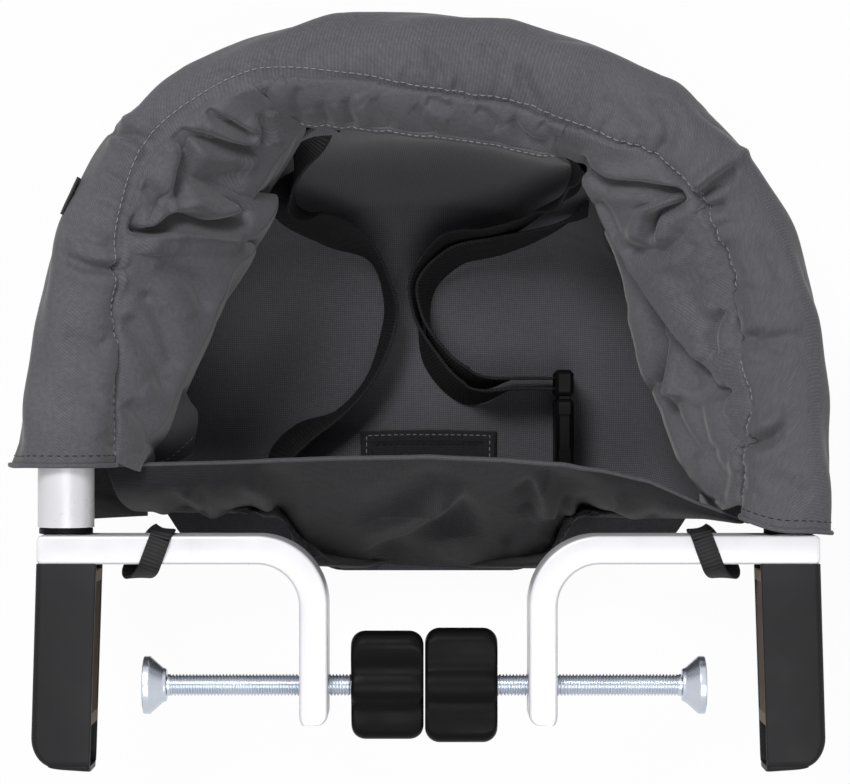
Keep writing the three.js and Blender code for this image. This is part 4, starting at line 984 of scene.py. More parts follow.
@dataclass
class PaddedCasing:
    """Padded twill casing that wraps the tube, with its lockstitched inner edge."""

    form: CasingForm
    rows: int = 560
    columns: int = 112
    padding: float = 2.0
    channel: float = 1.6
    puckers: int = 74
    seed: int = 7
    points: Optional[Array] = None

    def on(self, share: Array, turn: Array) -> Array:
        """Points on the finished surface at shares of its length and turns round it.

        Args:
            share: Shares of the tube's length.
            turn: Turns round the tube.

        Returns:
            Points in millimetres.
        """
        row = np.clip((share - self.form.start) / (self.form.end - self.form.start), 0, 1) * (self.rows - 1)
        i = np.minimum(row.astype(int), self.rows - 2)
        column = np.asarray(turn, float) * self.columns
        j = np.floor(column).astype(int)
        f, g = (row - i)[..., None], (column - j)[..., None]
        j, k = j % self.columns, (j + 1) % self.columns
        low = self.points[i, j] * (1 - g) + self.points[i, k] * g
        high = self.points[i + 1, j] * (1 - g) + self.points[i + 1, k] * g
        return low * (1 - f) + high * f

    def hem_y(self, turn: Array) -> Array:
        """Y of the right-hand sleeve end, which slants down outboard."""
        half = np.minimum(turn, 1 - turn)
        return 13.6 + 1.4 * ease(half, 0, 0.25) + 6 * ease(half, 0.25, 0.5)

    def pucker_folds(self) -> list[Fold]:
        """Short creases that the stitch line draws up on both its sides."""
        rng = np.random.default_rng(self.seed)
        share = np.sort(rng.uniform(self.form.start + 0.01, self.form.end - 0.02, self.puckers))
        on_line = self.form.surface(share, self.form.stitch_turn(share))
        out = self.form.line.outward(share)
        along = np.stack([out[:, 1], -out[:, 0], out[:, 2]], axis=-1)
        folds = []
        for point, away, way in zip(on_line, out, along):
            length = rng.uniform(5, 15)
            lean = rng.uniform(-6, 6)
            end = point + away * length + way * lean
            line = PLAN.to_frame(np.array([point - away * 3, point + away * length / 2, end]))
            folds.append(Fold([tuple(p) for p in line], rng.uniform(0.35, 1.0), rng.uniform(2.6, 4.6), 0.7))
        return folds

    def build(self) -> None:
        """Makes the casing with the sunken channel along its stitch line, and its end hems."""
        share, turn = np.meshgrid(np.linspace(self.form.start, self.form.end, self.rows),
            np.arange(self.columns) / self.columns, indexing="ij")
        points = self.form.surface(share, turn)
        # The right end's hem is cut aslant, and stays clear of the turning bar.
        reach = ease(share, self.form.end - 0.06, self.form.end) ** 2
        points[..., 1] -= reach * (self.form.right_end_y - self.hem_y(turn))
        normals = Grid(points, wrapped=True).facing(points - self.form.line.point(share))
        seen = ease(normals[..., 2], -0.15, 0.25)
        swell = self.padding * np.sin(2 * np.pi * (share * 9 + 0.8 * np.sin(2 * np.pi * turn)))
        swell += 0.6 * self.padding * np.sin(2 * np.pi * (share * 17 + 1.7 + turn))
        height = FoldField(CASING_FOLDS, gain=1.6).depth(points) + swell * 0.5
        height += FoldField(self.pucker_folds()).depth(points)
        past = turn - self.form.stitch_turn(share)
        along = np.abs(past) * 140
        height -= self.channel * np.exp(-((along / 2.2) ** 2))
        under = ease(past, 0.014, 0.06) * (1 - ease(turn, 0.63, 0.7))
        points += normals * (height * seen - 7.0 * under)[..., None]
        self.points = self.form.clear_of_tube(points)
        grid = Grid(self.points, wrapped=True)
        made = settle(grid.build("padded_casing", "twill"), "seat_frame", "grey_twill", "rim_cover")
        self.hems(grid)

    def hems(self, grid: Grid) -> None:
        """Rolled hems and their stitches at the sleeve's two ends."""
        for name, row, step in (("left_sleeve_hem", 0, 1), ("right_sleeve_hem", -1, -1)):
            ring = grid.points[row]
            centre = ring.mean(0)
            out = unit(ring - centre)
            along = np.array([0, -1.0, 0])
            rounds = [ring + out * (0.5 + 0.9 * np.sin(angle)) + along * 1.1 * np.cos(angle)
                for angle in np.linspace(0, 2 * np.pi, 10)[:-1]]
            hem = Grid(np.array(rounds + rounds[:1]), wrapped=True).build(name, "twill")
            settle(hem, "seat_frame", "grey_twill")
            inset = grid.points[row + step * 4]
            up = unit(inset - inset.mean(0))
            StitchRow(2.4, 1.2, 0.22).build(f"{name}_stitches", np.vstack([inset, inset[:1]]),
                np.vstack([up, up[:1]]), "dark_thread", "grey_twill")


@dataclass
class StitchLine:
    """The casing's inner topstitching and the share of the way round under a place of the frame."""

    padded: PaddedCasing
    samples: int = 900

    def __post_init__(self) -> None:
        """Samples the line in three dimensions and in frame units."""
        self.casing = self.padded.form
        self.share = np.linspace(self.casing.start, self.casing.end, self.samples)
        self.points = self.padded.on(self.share, self.casing.stitch_turn(self.share))
        self.seen = PLAN.to_frame(self.points)

    def share_at(self, place: tuple[float, float]) -> float:
        """Share of the way round nearest to a place in frame units."""
        return float(self.share[((self.seen - np.array(place)) ** 2).sum(1).argmin()])

    def build(self) -> None:
        """Makes the pale lockstitches that close the casing."""
        out = self.casing.line.outward(self.share)
        turn = self.casing.stitch_turn(self.share)
        on = self.padded.on(self.share, turn - 0.017)
        up = unit(on - self.casing.line.point(self.share))
        path = on + up * 0.35 + out * 0.3
        keep = slice(6, -10)
        StitchRow(2.5, 0.9, 0.27).build("casing_stitches", path[keep], up[keep], "pale_thread", "grey_twill")


@dataclass
class Drape:
    """Cloth that hangs from the stitch line to an inner line of the camera's frame, and on from there.

    pairs hold, in frame units, the place on the stitch line, the place on the inner line, and in
    millimetres the inner line's height and how far the cloth starts below the stitch line.
    """

    stitch: StitchLine
    pairs: Sequence[tuple]
    folds: Sequence[Fold]
    columns: int = 300
    rows: int = 110
    sag: float = 1.25
    steps: int = 24
    gain: float = 1.5

    def spread(self) -> tuple[Array, Array, Array]:
        """Shares on the stitch line, and inner places and heights, for every column."""
        rows = np.array([(self.stitch.share_at((p[0], p[1])), *p[2:6]) for p in self.pairs])
        fine = smooth_path(rows, self.columns - 1)
        return fine[:, 0], fine[:, 1:3], fine[:, 3:5]

    def visible(self) -> Array:
        """The seen part, from the stitch line to the inner line."""
        share, inner, heights = self.spread()
        casing = self.stitch.casing
        start = self.stitch.padded.on(share, casing.stitch_turn(share) + 0.003)
        start -= unit(start - casing.line.point(share)) * 1.6
        start[:, 2] -= heights[:, 1]
        soft = softened(start, 41)
        v = np.linspace(0, 1, self.rows)[:, None]
        flat = PLAN.to_frame(soft)[None] * (1 - v[..., None]) + inner[None] * v[..., None]
        z = lerp(soft[None, :, 2], heights[None, :, 0], v ** self.sag)
        # The seam's puckers fade out within a few millimetres of it.
        near = 1 - ease(v, 0, 0.14)
        flat = flat + (PLAN.to_frame(start) - PLAN.to_frame(soft))[None] * near[..., None]
        z = z + (start - soft)[None, :, 2] * near
        return PLAN.place(flat, z)

    def creased(self, points: Array) -> Array:
        """The seen part with its folds, which fade towards the stitch line."""
        v = np.linspace(0, 1, self.rows)[:, None]
        height = FoldField(self.folds, 0.16, self.gain).depth(points) * ease(v, 0.02, 0.12)
        height = height + 3.0 * ease(v, 0, 0.06)
        lifted = points + Grid(points).facing((0, 0, 1)) * height[..., None]
        return self.stitch.casing.clear_of_tube(lifted)

    def onward(self, points: Array, ends: Array, reach: float) -> Array:
        """Adds the cloth from the inner line to the given end points, in a curve that first runs down.

        Args:
            points: The seen part.
            ends: End point of each column.
            reach: How far the curve first runs down, in millimetres.

        Returns:
            All rows together.
        """
        last = points[-1]
        way = unit(points[-1] - points[-4])
        t = np.linspace(0, 1, self.steps + 1)[1:, None, None]
        knee = last + way * 0.12 * reach - np.array([0, 0, reach])
        curve = (1 - t) ** 2 * last + 2 * t * (1 - t) * knee + t ** 2 * ends
        return np.vstack([points, curve])


@dataclass
class SideWalls:
    """Twill side walls, slack between the stitch line and the base, with the right one's upper fold."""

    bucket: BucketForm
    padded: PaddedCasing
    left_pairs: tuple = ((116, 466, 131, 471, -12, 0), (116, 450, 143, 445, -20, 0),
        (116, 420, 156, 422, -24, 0), (116, 390, 171, 393, -27, 0), (116, 355, 186, 358, -28, 0),
        (116, 325, 205, 328, -29, 0), (117, 295, 217, 296, -30, 0), (118, 265, 229, 267, -30, 0),
        (121, 243, 250, 247, -34, 0), (124, 226, 241, 240, -30, 0), (129, 208, 263, 222, -36, 0),
        (135, 188, 272, 205, -40, 0), (141, 170, 270, 195, -40, 0), (148, 152, 251, 192, -27, 0),
        (156, 134, 262, 174, -24, 0), (172, 115, 273, 156, -22, 0), (190, 105, 284, 144, -20, 0),
        (222, 89, 292, 130, -18, 0), (258, 77, 303, 120, -15, 0))
    lower_pairs: tuple = ((712, 228, 610, 226, -38, 14), (720, 250, 617, 241, -42, 14),
        (728, 285, 629, 276, -46, 14), (735, 315, 636, 303, -48, 14), (740, 340, 643, 331, -50, 14),
        (744, 370, 651, 361, -50, 14), (747, 395, 660, 390, -48, 13), (749, 415, 670, 414, -44, 9),
        (749, 435, 680, 437, -40, 2.5), (747, 450, 688, 455, -36, 0.6), (744, 466, 698, 470, -32, 0.3),
        (740, 488, 715, 492, -24, 0), (736, 508, 731, 511, -10, 0))
    upper_pairs: tuple = ((556, 121, 553, 148, -14, 0), (583, 130, 576, 154, -16, 0),
        (610, 142, 590, 168, -20, 0), (630, 151, 593, 184, -22, 0), (650, 160, 598, 200, -24, 0),
        (670, 170, 607, 220, -26, 0), (692, 187, 617, 240, -28, 0), (705, 215, 632, 264, -26, 0),
        (717, 243, 648, 288, -24, 0), (722, 260, 662, 309, -22, 0), (728, 283, 677, 330, -20, 0),
        (733, 305, 688, 343, -18, 0), (737, 325, 698, 354, -16, 0), (741, 345, 709, 362, -14, 0),
        (744, 365, 719, 372, -12, 0), (746, 382, 729, 385, -9, 0), (748, 402, 735, 402, -6, 0),
        (749, 420, 729, 420, -10, 0), (749, 432, 722, 431, -13, 0), (748, 440, 727, 439, -11, 0),
        (747, 446, 738, 446, -5, 0))

    def base_ends(self, drape: Drape, side: int) -> Array:
        """Where each column meets the base's edge.

        Args:
            drape: The wall's seen part.
            side: -1 for left, 1 for right.

        Returns:
            Points in millimetres.
        """
        bucket = self.bucket
        share = drape.spread()[0]
        start, top, low = (bucket.start, *bucket.left_seam) if side < 0 else (bucket.end, *bucket.right_seam)
        ends = bucket.edge(lerp(start, low, np.clip((share - start) / (top - start), 0, 1)))
        ends[:, 2] += bucket.mesh / 2 + bucket.cloth / 2 + 0.3
        return ends

    def wall(self, name: str, drape: Drape, side: int, node: str) -> None:
        """Makes one wall from the stitch line to the base.

        Args:
            name: Object name.
            drape: The wall's seen part.
            side: -1 for left, 1 for right.
            node: CAD node that it replaces.
        """
        points = drape.creased(drape.visible())
        grid = Grid(drape.onward(points, self.base_ends(drape, side), 34.0))
        grid.sheet(name, "twill", 1.0, "grey_twill", "hung", ["padded_casing"], node)

    def build(self) -> None:
        """Makes the left wall, the right wall and the right wall's upper fold."""
        stitch = StitchLine(self.padded)
        stitch.build()
        self.wall("left_side_wall", Drape(stitch, self.left_pairs, LEFT_WALL_FOLDS, 420, 130), -1,
            "left_gusset")
        self.wall("right_side_wall", Drape(stitch, self.lower_pairs, RIGHT_WALL_FOLDS), 1, "right_gusset")
        upper = Drape(stitch, self.upper_pairs, UPPER_FOLDS, 420, 120, 1.35, 10)
        points = upper.creased(upper.visible())
        back = unit(points[-1] - points[-30])
        ends = points[-1] - back * 9 - np.array([0, 0, 5.0])
        ends[:, 2] -= 1.5
        Grid(upper.onward(points, ends, 4.0)).sheet("right_wall_fold", "twill", 1.0, "grey_twill", "folded",
            ["padded_casing", "right_side_wall"])


@dataclass
class BackHem:
    """Puckered twill strip between the stitch line and the mesh back."""

    walls: SideWalls
    reach: tuple = ((0.42, 27.5), (0.46, 31.0), (0.5, 35.5), (0.55, 36.8), (0.61, 36.2))
    hem_z: float = -14.0
    pairs: tuple = ((250, 79, 297, 119, -16, 0), (268, 76, 310, 120, -15, 0), (290, 76, 325, 121.5, -14, 0),
        (325, 79, 348, 123.5, -14, 0), (360, 84, 375, 126, -14, 0), (395, 89, 402, 129, -14, 0),
        (430, 94, 432, 132.5, -14, 0), (465, 100, 464, 136.5, -14, 0), (500, 107, 497, 141, -14, 0),
        (530, 114, 525, 145, -14, 0), (552, 120, 546, 148, -14, 0), (566, 124, 556, 149.5, -15, 0))

    def hem_line(self, share: Array, inset: float = 0.0, drop: float = 0.0) -> Array:
        """The hem's lower edge.

        Args:
            share: Shares of the tube's length.
            inset: Millimetres outboard of the hem.
            drop: Millimetres below the hem.

        Returns:
            Points in millimetres.
        """
        line = self.walls.bucket.line
        found = line.point(share) - line.outward(share) * (table(share, self.reach) - inset)[..., None]
        found[..., 2] = self.hem_z - drop
        return found

    def build(self) -> None:
        """Makes the strip and its stitched hem."""
        stitch = StitchLine(self.walls.padded)
        drape = Drape(stitch, self.pairs, BACK_FOLDS, 360, 90, 1.6, 8, 0.9)
        points = drape.creased(drape.visible())
        # The hem is folded under, and pinches the strip a little along its stitches.
        v = np.linspace(0, 1, drape.rows)[:, None]
        points[..., 2] += 0.9 * ease(v, 0.84, 0.9) - 0.7 * np.exp(-(((v - 0.87) / 0.02) ** 2))
        ends = points[-1] + np.array([0, 5.0, -3.0])
        grid = Grid(drape.onward(points, ends, 2.2))
        grid.sheet("back_hem_strip", "twill", 0.9, "grey_twill", "gathered", ["padded_casing"])
        row = int(0.93 * drape.rows)
        up = grid.facing((0, 0, 1))[row]
        StitchRow(2.3, 0.8, 0.25).build("back_hem_stitches", grid.points[row] + up * 0.55, up, "pale_thread",
            "grey_twill")


@dataclass
class MeshLiner:
    """Mesh over thin foam: the back and the base in one piece."""

    hem: BackHem
    columns: int = 230
    back_rows: int = 110
    base_rows: int = 150

    def build(self) -> None:
        """Makes the back and the base."""
        bucket = self.hem.walls.bucket
        s, v = sheet_shares(self.columns, self.back_rows)
        share = lerp(lerp(*bucket.left_seam, v) + 0.0012, lerp(*bucket.right_seam, v) - 0.0012, s)
        back = bucket.wall(share, v)
        top = back[:1, :, 2]
        back[..., 2] = lerp(top, bucket.base_z, v)
        raised = self.hem.hem_line(share, 1.5, 1.2)
        hold = (1 - ease(v, 0, 0.42))[..., None]
        back = back * (1 - hold) + hold * (raised + (back - back[:1]) * np.array([1, 1, 0.94]))
        t, w = (part[1:] for part in sheet_shares(self.columns, self.base_rows))
        base = bucket.base(t, w, 0.0)
        # Beside the tongue the mesh stops behind the front panel.
        reach = np.abs(base[..., 0])
        base[..., 1] = np.maximum(base[..., 1], lerp(bucket.lip_y, 23.0, ease(reach, 42, 62)))
        points = np.vstack([back, base])
        # The fold from back to base is a soft roll over the foam, not a crease.
        for _ in range(60):
            points[1:-1] = (points[:-2] + 2 * points[1:-1] + points[2:]) / 4
        normals = Grid(points).facing((0, -0.3, 1))
        edge = ease(np.minimum(np.linspace(0, 1, self.columns), np.linspace(1, 0, self.columns)), 0, 0.12)
        height = FoldField(MESH_FOLDS, 0.45).depth(points) * edge[None]
        Grid(points + normals * height[..., None]).sheet("mesh_back_and_base", "net", 2.2, "dark_mesh",
            "hung", ["padded_casing", "left_side_wall", "right_side_wall"], "mesh_liner")


@dataclass
class OuterShell:
    """Black canvas outside of the bucket."""

    bucket: BucketForm
    end_y: float = 15.4
    columns: int = 300
    rows: int = 60

    def build(self) -> None:
        """Makes the outer wall and the bottom."""
        bucket = self.bucket
        drop_z = bucket.mesh / 2 + bucket.cloth / 2 + 2 * bucket.gap
        share, drop = sheet_shares(self.columns, self.rows)
        away = bucket.line.outward(share)
        top = bucket.casing.surface(share, np.full_like(share, bucket.shell_turn))
        top[..., 2] -= bucket.sewn
        bottom = bucket.edge(share) + away * bucket.shell_space
        bottom[..., 2] = bucket.base_z - drop_z
        bottom[..., 1] -= (bucket.front_y - self.end_y) * (1 - ease(np.minimum(share, 1 - share), 0.01, 0.04))
        bulge = (bucket.bulge + bucket.shell_space) * np.sin(np.pi * drop)
        bulge += 1.6 * np.sin(2 * np.pi * (share * 13 + drop * 0.6)) * np.sin(np.pi * drop) ** 0.7
        # At the back right the outer cloth swells out from under the casing.
        bulge += 19 * np.exp(-(((share - 0.676) / 0.06) ** 2) - ((drop - 0.2) / 0.2) ** 2)
        wall = Grid(top + (bottom - top) * drop[..., None] + away * bulge[..., None])
        wall.sheet("outer_canvas", "canvas", 1.2, "black_cloth", "hung", ["padded_casing"], "outer_wall")
        floor = bucket.base(*sheet_shares(160, 120), bucket.shell_space - bucket.cloth / 2 - 2 * bucket.gap)
        Grid(floor - np.array([0, 0, drop_z])).sheet("bottom_canvas", "canvas", 1.6, "black_cloth", "laid",
            ["outer_canvas"], "outer_bottom")


@dataclass
class FrontPanel:
    """Black canvas panel between the tube ends that narrows to the crotch tongue."""

    bucket: BucketForm
    left_x: float = -147.0
    right_x: float = 146.0
    hem_z: float = -19.0
    middle_y: float = 46.5
    hem_shares: tuple = ((0, 0.93), (0.2, 0.95), (0.34, 0.985), (0.5, 1), (0.62, 0.97), (0.7, 0.93),
        (0.78, 0.86), (0.85, 0.76), (0.92, 0.56), (1, 0.38))
    middle_z: float = -50.0
    clear_y: float = 16.6
    band: float = 0.84
    taper: float = 0.15
    columns: int = 240
    rows: int = 150

    def hem(self, s: Array) -> Array:
        """The panel's upper hem."""
        y = self.middle_y * table(s, self.hem_shares)
        z = lerp(self.hem_z, self.middle_z, ease(np.sin(np.pi * s), 0, 1))
        return np.stack([lerp(self.left_x, self.right_x, s), y, z], axis=-1)

    def points(self) -> Array:
        """The panel's middle surface."""
        bucket = self.bucket
        s, t = sheet_shares(self.columns, self.rows)
        hem = self.hem(s)
        narrowing = ease(t, self.band, self.band + self.taper)
        band = hem[..., 0] * lerp(1, 0.95, np.minimum(1, t / self.band))
        x = lerp(band, bucket.tongue_half * (2 * s - 1), narrowing)
        sides = ease(np.abs(x), 1.3 * bucket.tongue_half, bucket.side_half)
        foot = lerp(bucket.lip_y + bucket.cloth, self.clear_y, sides)
        foot_z = bucket.base_z + bucket.mesh / 2 + bucket.gap + bucket.cloth / 2
        ripple = bucket.cloth * np.maximum(0, np.sin(np.pi * t) * np.sin(np.pi * s) * np.sin(9 * np.pi * s))
        y = np.maximum(lerp(hem[..., 1], foot, t), lerp(foot, self.clear_y, sides))
        # Beside the tongue the cloth lies out level to the bars before it turns down.
        level = lerp(1, 4.5, ease(np.abs(2 * s - 1), 0.42, 0.78))
        return np.stack([x, y + ripple, lerp(hem[..., 2], foot_z, t ** level)], axis=-1)

    def build(self) -> None:
        """Makes the panel, its rolled hem and its stitches."""
        points = self.points()
        normals = Grid(points).facing((0, 1, 1))
        rows = np.linspace(0, 1, self.rows)[:, None]
        ends = np.sin(np.pi * np.linspace(0, 1, self.columns))[None]
        height = FoldField(PANEL_FOLDS, gain=2.0).depth(points)
        height = height * (0.35 + 0.65 * ease(rows, 0, 0.2)) * ease(ends, 0, 0.15)
        shifted = points + normals * height[..., None]
        shifted[..., 1] = np.maximum(shifted[..., 1], np.minimum(points[..., 1], self.clear_y))
        grid = Grid(shifted)
        grid.sheet("front_canvas", "canvas", 1.3, "black_cloth", "hung", ["padded_casing"], "front_panel")
        up = grid.facing((0, 1, 1))
        # The rolled hem is drawn in the lighter canvas, as painted highlight along its top.
        rounds = [grid.points[0] + np.array([0, 1.1 * np.cos(angle), 1.1 * np.sin(angle)])
            for angle in np.linspace(0, 2 * np.pi, 9)[:-1]]
        roll = Grid(np.array(rounds + rounds[:1])).build("front_hem", "hem_highlight_canvas")
        settle(roll, "seat_frame", "black_cloth")
        row = 9
        StitchRow(2.4, 1.2, 0.25).build("front_hem_stitches", grid.points[row] + up[row] * 0.7, up[row],
            "dark_thread", "black_cloth")
        for name, share in (("left", 0.075), ("right", 0.915)):
            tack = np.s_[3:int(0.55 * self.rows), int(share * self.columns)]
            StitchRow(2.2, 0.9, 0.3).build(f"front_{name}_tack", grid.points[tack] + up[tack] * 0.75,
                up[tack], "dark_thread", "black_cloth")


# Webbing


@dataclass
class Belt:
    """Flat webbing along a route, its width standing on the given directions."""

    route: Array
    directions: Array
    width: float = 25.0
    thickness: float = 1.6
    steps: int = 420
    direct: bool = False

    def build(self, name: str, body: str, node: str) -> None:
        """Makes the webbing with rounded selvedges, its route taken as given if direct.

        Args:
            name: Object name.
            body: CAD body that it rides on.
            node: CAD node that it replaces.
        """
        path = self.route if self.direct else smooth_path(self.route, self.steps)
        facing = self.directions if self.direct else smooth_path(self.directions, self.steps)
        along = unit(np.gradient(path, axis=0))
        across = unit(facing - along * (facing * along).sum(1, keepdims=True))
        through = np.cross(along, across)
        half, thick = self.width / 2, self.thickness / 2
        rounds = ((1, -np.pi / 2), (-1, np.pi / 2))
        shape = [(side * (half - thick) + thick * math.cos(angle), thick * math.sin(angle))
            for side, turn in rounds for angle in np.linspace(turn, turn + np.pi, 7)]
        points = np.stack([path + across * a + through * b for a, b in shape], axis=1)
        settle(self.skin(name, points), body, "black_webbing", node)

    def skin(self, name: str, points: Array) -> Piece:
        """Quads round the webbing, with its length along U and its width along V in millimetres.

        Args:
            name: Object name.
            points: Rings of points along the webbing.

        Returns:
            The new object.
        """
        rows, columns = points.shape[:2]
        u = np.concatenate([[0], np.cumsum(np.linalg.norm(np.diff(points.mean(1), axis=0), axis=1))])
        v = np.linspace(0, 2 * self.width, columns + 1)
        faces, uv = quads(rows, columns, True, np.stack(np.meshgrid(u, v, indexing="ij"), axis=-1))
        ends = []
        for row in (0, rows - 1):
            for step in range(columns // 2 - 1):
                a, b = row * columns + step, row * columns + columns - 1 - step
                ends.append((a, a + 1, b - 1, b) if row else (b, b - 1, a + 1, a))
        flat = points.reshape(-1, 3)
        corner = np.concatenate([uv, flat[np.array(ends)][..., :2]])
        return link_mesh(name, flat, np.vstack([faces, np.array(ends)]), "webbing", corner)


@dataclass
class BeltSet:
    """The waist belt's three runs of webbing, which lie on edge on the mesh."""

    bucket: BucketForm
    buckle_x: float = 66.6
    bar_y: float = 81.0
    near_x: float = 62.1
    buckle_z: float = -133.9
    body_y: float = 32.8
    left: tuple = ((-0.385, 0.765, 0.5, 0), (-0.39, 0.705, 0.3, 0.4), (-0.27, 0.665, 0.14, 0.6),
        (-0.15, 0.6, 0.04, 0.1), (-0.112, 0.52, 0, 0.25), (-0.125, 0.45, 0, 0.25), (-0.18, 0.355, 0, 0.15),
        (-0.27, 0.285, 0, 0.15), (-0.385, 0.24, 0, 0.5), (-0.445, 0.19, 0, 0.6), (-0.4, 0.12, 0, 0.4),
        (-0.26, 0.075, 0, 0.1), (0, 0.06, 0, 0), (0.25, 0.08, 0, 0))
    right: tuple = ((0.41, 0.69, 0.19, 0), (0.32, 0.665, 0.16, -0.15), (0.21, 0.643, 0.11, -0.3),
        (0.08, 0.62, 0.05, -0.35), (0, 0.565, 0.01, -0.4), (-0.008, 0.5, 0, -0.15), (0.036, 0.41, 0, 0.35),
        (0.125, 0.362, 0, 0.4))
    tail: tuple = ((0.4, 0.742, 0.54, 0), (0.34, 0.712, 0.33, 0), (0.2, 0.668, 0.18, -0.2),
        (0.06, 0.645, 0.07, -0.35), (-0.022, 0.575, 0.015, -0.4), (-0.032, 0.5, 0, -0.15),
        (0.016, 0.396, 0, 0.35), (0.113, 0.33, 0, 0.4))

    def seam(self, share: float, drop: float) -> tuple[Array, Array]:
        """Place and width direction of webbing sewn to the wall.

        Args:
            share: Share of the tube's length.
            drop: Share of the way down the wall.

        Returns:
            The place and the direction.
        """
        bucket = self.bucket
        place, low = (bucket.wall(np.array([share]), np.array([d])) for d in (drop, drop + 0.125))
        lift = bucket.mesh / 2 + 0.8 + 4 * bucket.gap
        return place - bucket.line.outward(np.array([share])) * lift, unit(low - place)

    def route(self, start: Array, slope: Array, shares: tuple, ends: Array,
            width: float) -> tuple[Array, Array]:
        """Route and width directions of one run, from its seam to its end.

        Args:
            start: Points where the webbing leaves its seam.
            slope: Width directions at those points.
            shares: Rows of places across and back, height and lean, as shares.
            ends: The last points.
            width: Width of the webbing in millimetres.

        Returns:
            The route and its width directions.
        """
        bucket = self.bucket
        rows = np.array(shares)
        x, y = rows[:, 0] * bucket.line.half_width, rows[:, 1] * bucket.line.back_y
        rest = bucket.mesh / 2 + bucket.gap + width / 2
        z = bucket.base_height(x, y) + rest - rows[:, 2] * bucket.base_z
        route = np.vstack([start, np.stack([x, y, z], axis=1), ends])
        along = unit(np.gradient(route[:, :2], axis=0))
        lean = np.concatenate([np.zeros(len(start)), rows[:, 3], np.zeros(len(ends))])
        down = unit(np.stack([along[:, 1] * lean, -along[:, 0] * lean, -np.ones(len(lean))], axis=1))
        down[:len(start)] = slope
        return route, down

    def build(self) -> None:
        """Makes the three runs."""
        left_ends = np.array([(self.buckle_x - 9, self.body_y, self.buckle_z),
            (self.buckle_x + 9, self.body_y, self.buckle_z)])
        fold = 2.58
        upper, lower = [np.array([(self.near_x - 9 * back, self.bar_y + side * fold, self.buckle_z)
            for back in (2.4, 1.2, 0.1)]) for side in (1, -1)]
        left = PLAN.place(np.array([(318.0, 116.0), (301.0, 138.0)]), np.array([-24.0, -44.0]))
        tail = PLAN.place(np.array([(553.0, 146.0), (574.0, 166.0)]), np.array([-28.0, -42.0]))
        aslant = unit(np.array([(-0.45, -0.3, -0.85), (-0.5, -0.3, -0.8)]))
        upright = unit(np.array([(0.2, -0.1, -1.0), (0.2, 0.0, -1.0)]))
        runs = (("left_belt", (left, aslant), self.left, left_ends),
            ("right_belt", self.seam(0.662, 0.70), self.right, upper),
            ("belt_tail", (tail, upright), self.tail, lower))
        for name, (start, slope), shares, ends in runs:
            route, directions = self.route(start, slope, shares, ends, 25.0)
            Belt(route, directions).build(f"{name}_webbing", "seat_frame", name)
        turn = np.linspace(np.pi / 2, -np.pi / 2, 40)
        bend = np.stack([self.buckle_x + fold * np.cos(turn), self.bar_y + fold * np.sin(turn)], axis=1)
        flat = np.vstack([[(self.near_x, self.bar_y + fold)], bend, [(self.near_x, self.bar_y - fold)]])
        path = np.column_stack([flat, np.full(len(flat), self.buckle_z)])
        down = np.tile([0.0, 0.0, -1.0], (len(path), 1))
        Belt(path, down, 25.0, 1.3, direct=True).build("belt_fold_webbing", "buckle_tongue_body", "belt_fold")


# Small sewn pieces


